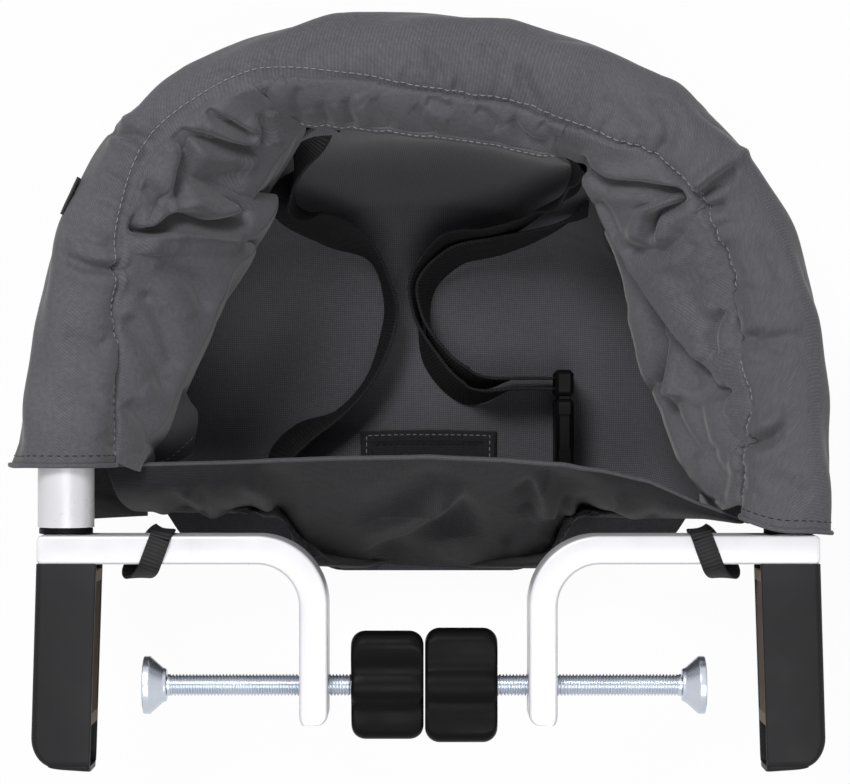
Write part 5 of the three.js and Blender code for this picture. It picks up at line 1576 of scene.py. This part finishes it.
@dataclass
class SmallPieces:
    """Flap, tab, tag and the two strap loops: small cloth pieces, the flap and the tab with their own
    stitches.
    """

    bucket: BucketForm
    bar_thickness: float = 12.8
    bar_depth: float = 30.0
    loop_width: float = 9.6

    def stitch(self, name: str, grid: Grid, up: Array, places: Sequence[tuple[int, int]],
            thread: str) -> None:
        """One row of stitches through the numbered places of a small piece.

        Args:
            name: Object name.
            grid: The piece.
            up: Its normals on the seen side.
            places: Row and column numbers.
            thread: Field name of the thread's finish.
        """
        rows, columns = np.array(places).T
        normals = up[rows, columns]
        StitchRow(2.1, 1.0, 0.24).build(name, grid.points[rows, columns] + normals * 0.65, normals, thread,
            "black_cloth")

    def base_tab(self) -> None:
        """Black patch on the base with a raised double border stitched all round."""
        s, t = sheet_shares(90, 46)
        x = lerp(-33.5, 33.5, s) + 0.8 * np.sin(5 * s) * (t - 0.5)
        y = lerp(57.2, 22.6, t) + 0.6 * np.sin(np.pi * s)
        edge = np.minimum(np.minimum(s, 1 - s) * 67, np.minimum(t, 1 - t) * 34.6)
        border = 0.9 * (ease(edge, 0, 0.8) - ease(edge, 5.2, 6.4))
        z = self.bucket.base_height(x, y) + 2.5 + border + 0.35 * np.sin(x * 0.16 + y * 0.1)
        grid = Grid(np.stack([x, y, z], axis=-1))
        grid.sheet("base_tab_patch", "canvas", 1.1, "black_cloth", "laid", ["mesh_back_and_base"], "base_tab")
        up = grid.facing((0, 0, 1))
        ring = [(i, 4) for i in range(43, 2, -1)] + [(3, j) for j in range(4, 86)]
        ring += [(i, 85) for i in range(3, 44)]
        self.stitch("base_tab_stitches", grid, up, ring, "pale_thread")
        self.stitch("base_tab_inner_stitches", grid, up, [(9, j) for j in range(10, 80)], "dark_thread")

    def side_flap(self) -> None:
        """Flap inside the left wall, folded to a point at its top."""
        t = np.linspace(0, 1, 60)
        left = smooth_path(np.array([(175.5, 378.0), (170, 398), (155, 426), (141, 461)]), 59)
        right = smooth_path(np.array([(178.5, 378.0), (189, 399), (197, 412), (192, 452)]), 59)
        s = np.linspace(0, 1, 44)[None, :, None]
        flat = left[:, None] * (1 - s) + right[:, None] * s
        across, down = s[..., 0], t[:, None]
        flat[..., 1] += 8 * np.sin(np.pi * across) * down ** 2
        z = lerp(-32.0, -62.0, down) - 14 * across * down + 1.6 * np.sin(6 * across + 5 * down)
        z = z + 2.2 * np.exp(-((across / 0.12) ** 2))
        grid = Grid(PLAN.place(flat, z))
        grid.sheet("side_flap_cloth", "hem_highlight_canvas", 1.0, "black_cloth", "laid", ["left_side_wall"],
            "side_flap")
        places = [(round(lerp(51, 58, k / 40)), round(lerp(40, 14, k / 40))) for k in range(41)]
        self.stitch("side_flap_stitches", grid, grid.facing((1, 0, 1)), places, "pale_thread")

    def side_tag(self, low: Sequence[float], high: Sequence[float]) -> None:
        """Small plain tag on the casing's outer left side.

        Args:
            low: Lower corner of its CAD box in millimetres.
            high: Upper corner of the box.
        """
        casing = self.bucket.casing
        s, t = sheet_shares(24, 24)
        share = np.interp(lerp(low[1], high[1], s), casing.line.line[:2400, 1], casing.line.shares[:2400])
        turn = lerp(-0.055, 0.075, t)
        on = casing.surface(share, turn % 1)
        away = casing.line.outward(share)
        lift = 1.5 + 0.4 * np.sin(3 * t)
        Grid(on + away * lift[..., None]).sheet("side_tag_cloth", "webbing", 0.7, "black_webbing", "laid",
            ["padded_casing"], "side_tag")

    def strap_loop(self, name: str, side: int) -> None:
        """Narrow ribbed webbing wound aslant round the bar.

        Args:
            name: Left or right.
            side: -1 for left, 1 for right.
        """
        top = self.bar_depth / 2 + 1.2
        back, front = self.bar_thickness + 1.25, -1.25
        shift = 9.5 if side < 0 else 7.0
        corners = [(129.0, back - 2.2, top), (133.0, front + 2.2, top), (134.2, front - 0.6, top - 2.0),
            (138.0, front - 4.4, 4.0), (142.5, front - 4.8, -5.0), (143.5, front - 2.0, -12.0),
            (140.0, front + 2.5, -top - 1.0), (133.0, back - 2.2, -top), (129.6, back, 2.0 - top),
            (128.6, back, 0), (128.2, back, top - 2.0), (129.0, back - 2.2, top)]
        corners = [(x - shift, y, z) for x, y, z in corners]
        route = np.array(corners) * np.array([side, 1.0, 1.0])
        path = smooth_path(route, 300)
        along = unit(np.gradient(path, axis=0))
        out = path - path.mean(0)
        out[:, 0] = 0
        across = unit(np.cross(along, unit(out)))
        Belt(path, across, self.loop_width, 1.3, 300, direct=True).build(f"{name}_strap_loop_webbing",
            f"{name}_clamp", f"{name}_strap_loop")

    def build(self) -> None:
        """Makes every small piece."""
        self.base_tab()
        self.side_flap()
        low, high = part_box("side_tag")
        self.side_tag([c / MM for c in low], [c / MM for c in high])
        for name, side in (("left", -1), ("right", 1)):
            self.strap_loop(name, side)


# Rigid pieces


def rounded_loop(x0: float, y0: float, x1: float, y1: float, corner: float, facets: int = 6) -> Array:
    """Corners of a rectangle with rounded corners, anticlockwise.

    Args:
        x0: Left side.
        y0: Lower side.
        x1: Right side.
        y1: Upper side.
        corner: Corner radius.
        facets: Steps in each corner.

    Returns:
        Points in two dimensions.
    """
    turn = np.linspace(0, np.pi / 2, facets + 1)
    found = []
    for k, (x, y) in enumerate(((x1 - corner, y1 - corner), (x0 + corner, y1 - corner),
            (x0 + corner, y0 + corner), (x1 - corner, y0 + corner))):
        angle = turn + k * np.pi / 2
        found.append(np.stack([x + corner * np.cos(angle), y + corner * np.sin(angle)], axis=1))
    return np.vstack(found)


@dataclass
class Loft:
    """Closed sections in a row, in millimetres, with flat ends."""

    sections: Array
    closed: bool = True

    def build(self, name: str, finish: str, body: str, sharp: float = 35.0) -> Piece:
        """Makes the loft as one solid that rides on a body.

        Args:
            name: Object name.
            finish: Field name of its finish.
            body: CAD body that it rides on.
            sharp: Angle in degrees from which an edge stays crisp.

        Returns:
            The new object.
        """
        rows, columns = self.sections.shape[:2]
        faces = [tuple(face) for face in quads(rows, columns, True)[0].tolist()]
        if self.closed:
            faces += [tuple(range(columns - 1, -1, -1)), tuple(range((rows - 1) * columns, rows * columns))]

        mesh = bpy.data.meshes.new(name)
        mesh.from_pydata([tuple(p) for p in self.sections.reshape(-1, 3) * MM], [], faces)
        shape = bmesh.new()
        shape.from_mesh(mesh)
        bmesh.ops.remove_doubles(shape, verts=shape.verts, dist=1e-7)
        bmesh.ops.recalc_face_normals(shape, faces=shape.faces)
        for edge in shape.edges:
            edge.smooth = len(edge.link_faces) == 2 and edge.calc_face_angle(0.0) < math.radians(sharp)
        for face in shape.faces:
            face.smooth = True
        shape.to_mesh(mesh)
        shape.free()
        mesh.materials.append(FINISHES.get(finish))
        made = bpy.data.objects.new(name, mesh)
        bpy.context.scene.collection.objects.link(made)
        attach(made, body)
        return made


def drawn_back(radius: float, near: float) -> float:
    """How far a rounded edge draws back at a distance from its end."""
    return radius - math.sqrt(max(0, radius ** 2 - max(0, radius - near) ** 2))


def turned(profile: Points, x: float, sides: int = 64) -> Array:
    """Sections of a turned piece round the X axis.

    Args:
        profile: Places along X and radii.
        x: Added to every place.
        sides: Points round each section.

    Returns:
        Sections for a Loft.
    """
    angle = 2 * np.pi * np.arange(sides) / sides
    rows = np.array(profile, float)
    return np.stack([np.repeat(rows[:, :1] + x, sides, axis=1), rows[:, 1:] * np.cos(angle),
        rows[:, 1:] * np.sin(angle)], axis=-1)


def filleted(profile: Points, radius: float, steps: int = 5) -> Array:
    """A profile whose inner corners are rounded by short curves of about a radius.

    Args:
        profile: Places and radii.
        radius: Size of the curves.
        steps: Points in each curve.

    Returns:
        The rounded profile.
    """
    p = np.array(profile, float)
    found = [p[0]]
    for before, corner, after in zip(p[:-2], p[1:-1], p[2:]):
        back, ahead = before - corner, after - corner
        cut = min(radius, 0.45 * np.linalg.norm(back), 0.45 * np.linalg.norm(ahead))
        a, b = corner + unit(back) * cut, corner + unit(ahead) * cut
        t = np.linspace(0, 1, steps)[:, None]
        found.extend((1 - t) ** 2 * a + 2 * t * (1 - t) * corner + t ** 2 * b)
    found.append(p[-1])
    return np.array(found)


@dataclass
class FrameTube:
    """Powder-coated tube with a slot for the stop pin near each end, and the flanged bushes in its ends."""

    line: FrameLine
    radius: float = 12.7
    wall: float = 1.6
    slot_y: float = 69.8
    slot_half: float = 2.7
    bush_y: float = 13.1
    flange: float = 2.7
    flange_radius: float = 12.1
    liner_radius: float = 10.8
    liner_length: float = 26.3
    bore: float = 9.5
    rows: int = 420
    sides: int = 64

    def build(self) -> None:
        """Makes the tube and both bushes."""
        share, turn = np.meshgrid(np.linspace(0, 1, self.rows), np.arange(self.sides) / self.sides,
            indexing="ij")
        out, up = self.line.outward(share), np.array([0, 0, 1.0])
        way = out * np.cos(2 * np.pi * turn)[..., None] + up * np.sin(2 * np.pi * turn)[..., None]
        outer = self.line.point(share) + way * self.radius
        inner = self.line.point(share) + way * (self.radius - self.wall)
        sections = np.concatenate([outer, inner[::-1], outer[:1]], axis=0)
        made = Loft(sections, closed=False).build("steel_tube", "powder", "seat_frame", 60)
        self.slots(made)
        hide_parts("frame_tube")
        end = self.flange + self.liner_length
        for name, side in (("left", -1), ("right", 1)):
            profile = filleted(((0, self.bore), (0, self.flange_radius), (self.flange, self.flange_radius),
                (self.flange, self.liner_radius), (end, self.liner_radius), (end, self.bore),
                (0, self.bore)), 0.5)
            bush = turned(profile, self.bush_y)[..., [1, 0, 2]]
            bush[..., 0] += side * self.line.half_width
            made = Loft(bush, closed=False).build(f"{name}_flanged_bush", "acetal", "seat_frame", 50)
            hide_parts(f"{name}_bush")

    def slots(self, tube: Piece) -> None:
        """Takes away the wall where the stop pins swing, from outboard to the top."""
        shape = bmesh.new()
        shape.from_mesh(tube.data)
        gone = []
        for face in shape.faces:
            x, y, z = (c / MM for c in face.calc_center_median())
            if abs(y - self.slot_y) < self.slot_half and z > -3.6 and abs(x) > self.line.half_width - 3.6:
                gone.append(face)
        bmesh.ops.delete(shape, geom=gone, context="FACES")
        shape.to_mesh(tube.data)
        shape.free()


@dataclass
class ClampHardware:
    """One swivel clamp: bent bar, moulded arm, hand screw, knob and foot."""

    name: str
    side: int
    bar_thickness: float = 12.8
    bar_depth: float = 30.0
    bar_end_x: float = 174.5
    leg_x: float = 44.8
    leg_length: float = 71.9
    bend_inside: float = 19.0
    edge: float = 1.3
    arm_inner_x: float = 148.0
    arm_outer_x: float = 175.0
    arm_tip_inner_x: float = 151.0
    arm_tip_x: float = 177.2
    arm_length: float = 92.8
    arm_straight: float = 77.5
    arm_wall: float = 2.4
    screw_y: float = -55.0
    screw_radius: float = 4.9
    thread_pitch: float = 1.5
    thread_depth: float = 0.75
    full_length: float = 125.9
    knob_length: float = 32.6
    knob_span: float = 51.6
    knob_grip: float = 22.0
    hub_radius: float = 8.4
    wing_half: float = 6.2
    knob_corner: float = 6.6
    knob_fillet: float = 1.7
    knob_turn: float = 0.3
    end_round: float = 2.2
    foot_round: float = 5.0
    round_steps: int = 8

    @property
    def inner_x(self) -> float:
        """Outer distance of the knob's inner end from the middle plane."""
        return 0.3 - 1.8 * self.side

    def finish(self, sections: Array, name: str, finish: str, body: str, slot: str, node: str = "",
            sharp: float = 35.0) -> Piece:
        """Makes one piece on this clamp's side and hides the node that it replaces, if any.

        Args:
            sections: Sections for a Loft, on the right-hand side.
            name: Last part of the object's name.
            finish: Field name of its finish.
            body: Last part of its body's name.
            slot: The record's material slot; not used.
            node: Last part of the name of the node that it replaces, if any.
            sharp: Angle in degrees from which an edge stays crisp.

        Returns:
            The new object.
        """
        placed = sections * np.array([self.side, 1.0, 1.0])
        made = Loft(placed).build(f"{self.name}_{name}", finish, f"{self.name}_{body}", sharp)
        if node:
            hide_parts(f"{self.name}_{node}")
        return made

    def bar(self) -> None:
        """Bent flat bar: a rounded section swept along its middle line, narrowed at its two rounded ends."""
        radius = self.bend_inside + self.bar_thickness / 2
        half = self.bar_thickness / 2
        corner_x = self.leg_x + half + radius
        bend = [(corner_x - radius * math.sin(a), half - radius + radius * math.cos(a))
            for a in np.linspace(0, np.pi / 2, 30)]
        steps = self.round_steps
        turn = np.linspace(0, np.pi / 2, steps)
        ends = 1 - np.cos(turn)
        start = [(self.bar_end_x - self.end_round * e, half) for e in ends]
        leg_end = half - self.leg_length - half
        finish = [(self.leg_x + half, leg_end + self.foot_round * e) for e in ends[::-1]]
        path = np.array(start + bend + finish)
        along = unit(np.gradient(path, axis=0))
        along[:steps], along[-steps:] = (-1, 0), (0, -1)
        across = np.stack([-along[:, 1], along[:, 0]], axis=1)
        inset_start = self.end_round * (1 - np.sin(turn))
        inset_end = self.foot_round * (1 - np.sin(turn))[::-1]
        sections = []
        for k, (place, way) in enumerate(zip(path, across)):
            low = high = 0.0
            past = k - len(path) + steps
            if k < steps:
                low = high = inset_start[k]
            if past >= 0:
                low, high = 0.35 * inset_end[past], inset_end[past]
            loop = rounded_loop(-half + high, -self.bar_depth / 2, half - low, self.bar_depth / 2, self.edge,
                5)
            flat = place + way * loop[:, :1]
            sections.append(np.column_stack([flat, loop[:, 1]]))
        made = self.finish(np.array(sections), "bent_bar", "powder", "clamp", "silver_paint", "bar", 50)
        self.bore(made, self.leg_x - 2, self.leg_x + self.bar_thickness + 2, self.screw_radius + 0.2)

    def bore(self, solid: Piece, start: float, end: float, radius: float) -> None:
        """Cuts a round hole along the screw's axis.

        Args:
            solid: The object to cut.
            start: Where the hole starts along X.
            end: Where it ends.
            radius: The hole's radius.
        """
        drill = turned(((start, radius), (end, radius)), 0, 48)
        drill[..., 1] += self.screw_y
        tool = Loft(drill * np.array([self.side, 1.0, 1.0])).build("drill", "powder", f"{self.name}_clamp",
            50)
        cut = solid.modifiers.new("bore", "BOOLEAN")
        cut.operation = "DIFFERENCE"
        cut.object = tool
        bpy.context.view_layer.update()
        seen = solid.evaluated_get(bpy.context.evaluated_depsgraph_get())
        old, solid.data = solid.data, bpy.data.meshes.new_from_object(seen)
        solid.modifiers.remove(cut)
        bpy.data.meshes.remove(old)
        bpy.data.objects.remove(tool)

    def arm(self) -> None:
        """Moulded arm cover: a trough whose mouth faces the screw, closed at its tip."""
        y = -np.concatenate([np.linspace(0, self.arm_straight, 8),
            self.arm_straight + 12.9 * np.sin(np.linspace(0, np.pi / 2, 12)[1:])])
        share = np.clip(-y / self.arm_straight, 0, 1)
        past = np.clip((-y - self.arm_straight) / 14.0, 0, 1)
        outer = lerp(self.arm_outer_x, self.arm_tip_x, share) - 12 * (1 - np.sqrt(1 - past ** 2))
        inner = lerp(self.arm_inner_x, self.arm_tip_inner_x, -y / self.arm_length)
        drop = 6 - np.sqrt(np.maximum(0, 36 - np.clip(-y - self.arm_length + 6, 0, 6) ** 2))
        half = self.bar_depth / 2 - drop
        sections = []
        for place, x0, x1, tall in zip(y, inner, outer, half):
            back = rounded_loop(x0 - 20, -tall, x1, tall, 3.2, 6)
            back = back[np.r_[21:28, 0:7]]
            mouth = np.array([(x0 + 0.5, tall), (x0, tall - 0.5), (x0, tall - self.arm_wall + 0.4)])
            room = np.array([(x1 - self.arm_wall, tall - self.arm_wall),
                (x1 - self.arm_wall, -tall + self.arm_wall)])
            low = mouth[::-1] * np.array([1, -1])
            loop = np.vstack([back, mouth, room, low])
            sections.append(np.column_stack([loop[:, 0], np.full(len(loop), place), loop[:, 1]]))
        self.finish(np.array(sections), "arm_cover", "nylon", "clamp", "black_plastic", "arm_shell", 40)
        self.arm_tip(float(y[-1]), float(inner[-1]), float(outer[-1]), float(half[-1]))

    def arm_tip(self, start: float, inner: float, outer: float, tall: float) -> None:
        """The trough's closed end, which slopes back towards the arm's outer corner.

        Args:
            start: Y of the trough's last section.
            inner: Its inner side.
            outer: Its outer side.
            tall: Half its depth.
        """
        sections = []
        for e in np.linspace(0, np.pi / 2, 8):
            out = math.sin(e)
            shrink = 2.4 * (1 - math.cos(e))
            loop = rounded_loop(inner, -tall + shrink, outer - 2.6 * shrink, tall - shrink, 2.2, 5)
            slope = 1.3 * (loop[:, 0] - inner) / (outer - inner)
            y = start - (self.arm_length + start) * out + slope * out
            sections.append(np.column_stack([loop[:, 0], y, loop[:, 1]]))
        self.finish(np.array(sections), "arm_tip", "nylon", "clamp", "black_plastic", sharp=60)

    def rod(self) -> None:
        """Zinc-plated rod with its helical thread."""
        start = self.inner_x + self.knob_length - self.knob_grip
        neck = self.inner_x + self.full_length - 10.7
        x = np.arange(start, neck, self.thread_pitch / 9)
        turn = np.arange(40) / 40
        phase = (x[:, None] / self.thread_pitch - turn[None]) % 1
        form = np.abs(2 * phase - 1)
        depth = self.thread_depth * ease(form, 0.12, 0.9)
        run = np.minimum(ease(x, start + 18, start + 24), 1 - ease(x, neck - 2.2, neck - 0.4))[:, None]
        radius = self.screw_radius - depth * run
        across, rise = radius * np.cos(2 * np.pi * turn), radius * np.sin(2 * np.pi * turn)
        sections = np.stack([np.repeat(x[:, None], 40, axis=1), self.screw_y + across, rise], axis=-1)
        tip = turned(((neck, 3.4), (neck + 8.2, 3.4)), 0, 40)
        tip[..., 1] += self.screw_y
        self.finish(np.concatenate([sections, tip]), "threaded_rod", "zinc", "screw_body", "zinc_steel",
            "screw", 50)

    def foot(self) -> None:
        """Swivel foot: a pressed disc with a rolled rim on a cone."""
        face = self.inner_x + self.full_length
        profile = filleted(((face - 10.4, 3.7), (face - 10.4, 7.3), (face - 9.0, 7.6), (face - 3.4, 12.6),
            (face - 2.9, 13.0), (face, 13.0), (face, 0.01)), 0.6, 6)
        sections = turned(profile, 0)
        sections[..., 1] += self.screw_y
        self.finish(sections, "swivel_foot", "zinc", "foot_body", "zinc_steel", "foot", 60)

    def knob(self) -> None:
        """Hand knob: two full wings with rounded corners and a hub band between soft valleys."""
        half, wing, end = self.knob_span / 2, self.wing_half, np.pi / 2
        inner = half - wing
        y = np.concatenate([np.linspace(-half, -inner, 12)[:-1], np.linspace(-inner, inner, 72),
            np.linspace(inner, half, 12)[1:]])
        away = np.abs(y)
        valley = wing - 0.9 * np.exp(-(((away - 10.5) / 4.2) ** 2))
        hub = np.sqrt(np.maximum(0, self.hub_radius ** 2 - away ** 2))
        tip = np.sqrt(np.maximum(0, wing ** 2 - np.clip(away - half + wing, 0, wing) ** 2))
        thick = np.maximum(valley, 0) * (away < inner) + (away >= inner) * tip
        mixed = (np.maximum(thick, 0.01) ** 6 + hub ** 6) ** (1 / 6)
        top = np.stack([y, mixed], axis=1)
        loop = np.vstack([top, (top * np.array([1, -1]))[::-1][1:-1]])
        d = np.concatenate([self.knob_corner * (1 - np.cos(np.linspace(0, end, 14))), [self.knob_length / 2]])
        d = np.concatenate([d, (self.knob_length - d)[::-1][1:]])
        sections = []
        for place in d:
            near = min(place, self.knob_length - place)
            corner, fillet = drawn_back(self.knob_corner, near), drawn_back(self.knob_fillet, near)
            scale = np.array([(half - corner) / half, 1.0])
            flat = loop * scale
            flat[:, 1] = np.sign(flat[:, 1]) * np.maximum(0.02, np.abs(flat[:, 1]) - fillet)
            sections.append(np.column_stack([np.full(len(flat), self.inner_x + place), flat]))
        points = np.array(sections)
        if self.side < 0:
            c, s = math.cos(self.knob_turn), math.sin(self.knob_turn)
            turned_y = points[..., 1] * c - points[..., 2] * s
            points[..., 2] = points[..., 1] * s + points[..., 2] * c
            points[..., 1] = turned_y
        points[..., 1] += self.screw_y
        self.finish(points, "hand_knob", "acetal", "screw_body", "black_plastic", "knob", 70)

    def build(self) -> None:
        """Makes the clamp's pieces."""
        self.bar()
        self.arm()
        self.rod()
        self.foot()
        self.knob()


@dataclass
class HardFinishes:
    """Finishes on the CAD nodes that stay."""

    nodes: dict
    finish: dict = field(default_factory=lambda: {"spigot": "zinc", "stop_pin": "zinc", "arm_core": "powder",
        "grip_pad": "rubber", "buckle_body": "acetal", "buckle_tongue": "acetal"})

    def build(self) -> None:
        """Gives every shown CAD node its finish."""
        for name, node in self.nodes.items():
            for ending, finish in self.finish.items():
                if name.endswith(ending):
                    node.data.materials.clear()
                    node.data.materials.append(FINISHES.get(finish))


# Studio


@dataclass
class Studio:
    """Camera over the seat, soft light and a pale floor."""

    plan: Plan = PLAN
    sensor: float = 36.0
    floor_size: float = 6.0
    floor_z: float = -0.16

    def camera(self) -> None:
        """Looks straight down at the photograph's angle."""
        data = bpy.data.cameras.new("camera")
        data.sensor_width = self.sensor
        data.lens = self.sensor * self.plan.eye_z / (self.plan.width * self.plan.unit_mm)
        made = bpy.data.objects.new("camera", data)
        made.location = (self.plan.eye_x * MM, self.plan.eye_y * MM, self.plan.eye_z * MM)
        bpy.context.scene.collection.objects.link(made)
        bpy.context.scene.camera = made

    def lamp(self, name: str, place: Sequence[float], size: float, watts: float) -> None:
        """A square soft box that faces the seat's middle.

        Args:
            name: Lamp name.
            place: Where it stands, in metres.
            size: Side of the square.
            watts: Its power.
        """
        data = bpy.data.lights.new(name, "AREA")
        data.shape = "SQUARE"
        data.size = size
        data.energy = watts
        made = bpy.data.objects.new(name, data)
        made.location = place
        made.rotation_euler = (Vector((0, 0.08, -0.05)) - Vector(place)).to_track_quat("-Z", "Y").to_euler()
        bpy.context.scene.collection.objects.link(made)

    def seen(self, tree: Tree) -> Socket:
        """1 for rays that show the background: the camera's, a mirror's and a glass's."""
        path = add_node(tree, "LightPath")
        first = add_node(tree, "Math", {0: path.outputs["Is Camera Ray"], 1: path.outputs["Is Glossy Ray"]},
            operation="MAXIMUM")
        return add_node(tree, "Math", {0: first.outputs[0], 1: path.outputs["Is Transmission Ray"]},
            operation="MAXIMUM").outputs[0]

    def floor(self) -> None:
        """A pale floor that shows white and keeps the seat's shadow."""
        bpy.ops.mesh.primitive_plane_add(size=self.floor_size, location=(0, 0.08, self.floor_z))
        made = bpy.context.object
        made.name = "floor"
        material, tree = new_material("white_paper")
        grain = add_node(tree, "TexNoise", {"Scale": 400.0, "Detail": 2.0})
        bump = add_node(tree, "Bump", {"Height": grain.outputs["Fac"], "Distance": 0.0001, "Strength": 0.1})
        diffuse = add_node(tree, "BsdfDiffuse", {"Color": linear("#e9e9ea"),
            "Normal": bump.outputs["Normal"]})
        glow = add_node(tree, "Emission", {"Color": (1, 1, 1, 1), "Strength": self.seen(tree)})
        half = add_node(tree, "Math", {0: self.seen(tree), 1: 0.96}, operation="MULTIPLY")
        mixed = add_node(tree, "MixShader", {0: half.outputs[0], 1: diffuse.outputs[0], 2: glow.outputs[0]})
        add_node(tree, "OutputMaterial", {"Surface": mixed.outputs[0]})
        made.data.materials.append(material)

    def world(self) -> None:
        """Even pale light all round, shown as white."""
        world = bpy.data.worlds.new("studio")
        bpy.context.scene.world = world
        world.use_nodes = True
        tree = world.node_tree
        tree.nodes.clear()
        strength = add_node(tree, "MapRange", {"Value": self.seen(tree), "To Min": 0.27, "To Max": 1.0})
        light = add_node(tree, "Background", {"Color": (1, 1, 1, 1), "Strength": strength.outputs[0]})
        add_node(tree, "OutputWorld", {"Surface": light.outputs[0]})

    def build(self) -> None:
        """Sets the camera, the lamps, the floor and the world."""
        bpy.context.scene.view_settings.view_transform = "Standard"
        self.camera()
        self.lamp("key", (-0.45, 0.95, 1.55), 0.55, 21.0)
        self.lamp("front", (0.1, -0.6, 1.8), 1.0, 15.0)
        self.floor()
        self.world()


def build_seat(nodes: dict) -> None:
    """Makes every piece of the seat in order.

    Args:
        nodes: CAD node objects by name.
    """
    casing = CasingForm(FrameLine())
    bucket = BucketForm(casing)
    padded = PaddedCasing(casing)
    walls = SideWalls(bucket, padded)
    hem = BackHem(walls)
    for name, maker in (("padded casing", padded), ("side walls", walls), ("back hem", hem),
            ("mesh liner", MeshLiner(hem)), ("outer shell", OuterShell(bucket)),
            ("front panel", FrontPanel(bucket)), ("belts", BeltSet(bucket)),
            ("small pieces", SmallPieces(bucket)), ("frame tube", FrameTube(casing.line)),
            ("left clamp", ClampHardware("left", -1)), ("right clamp", ClampHardware("right", 1)),
            ("hard finishes", HardFinishes(nodes))):
        maker.build()
        LOG.info("built %s", name)


def main() -> None:
    """Loads the frame, dresses it and sets the studio."""
    logging.basicConfig(level=logging.INFO, format="%(message)s")
    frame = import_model()
    Studio().build()
    build_seat(frame["nodes"])


if __name__ == "__main__":
    main()
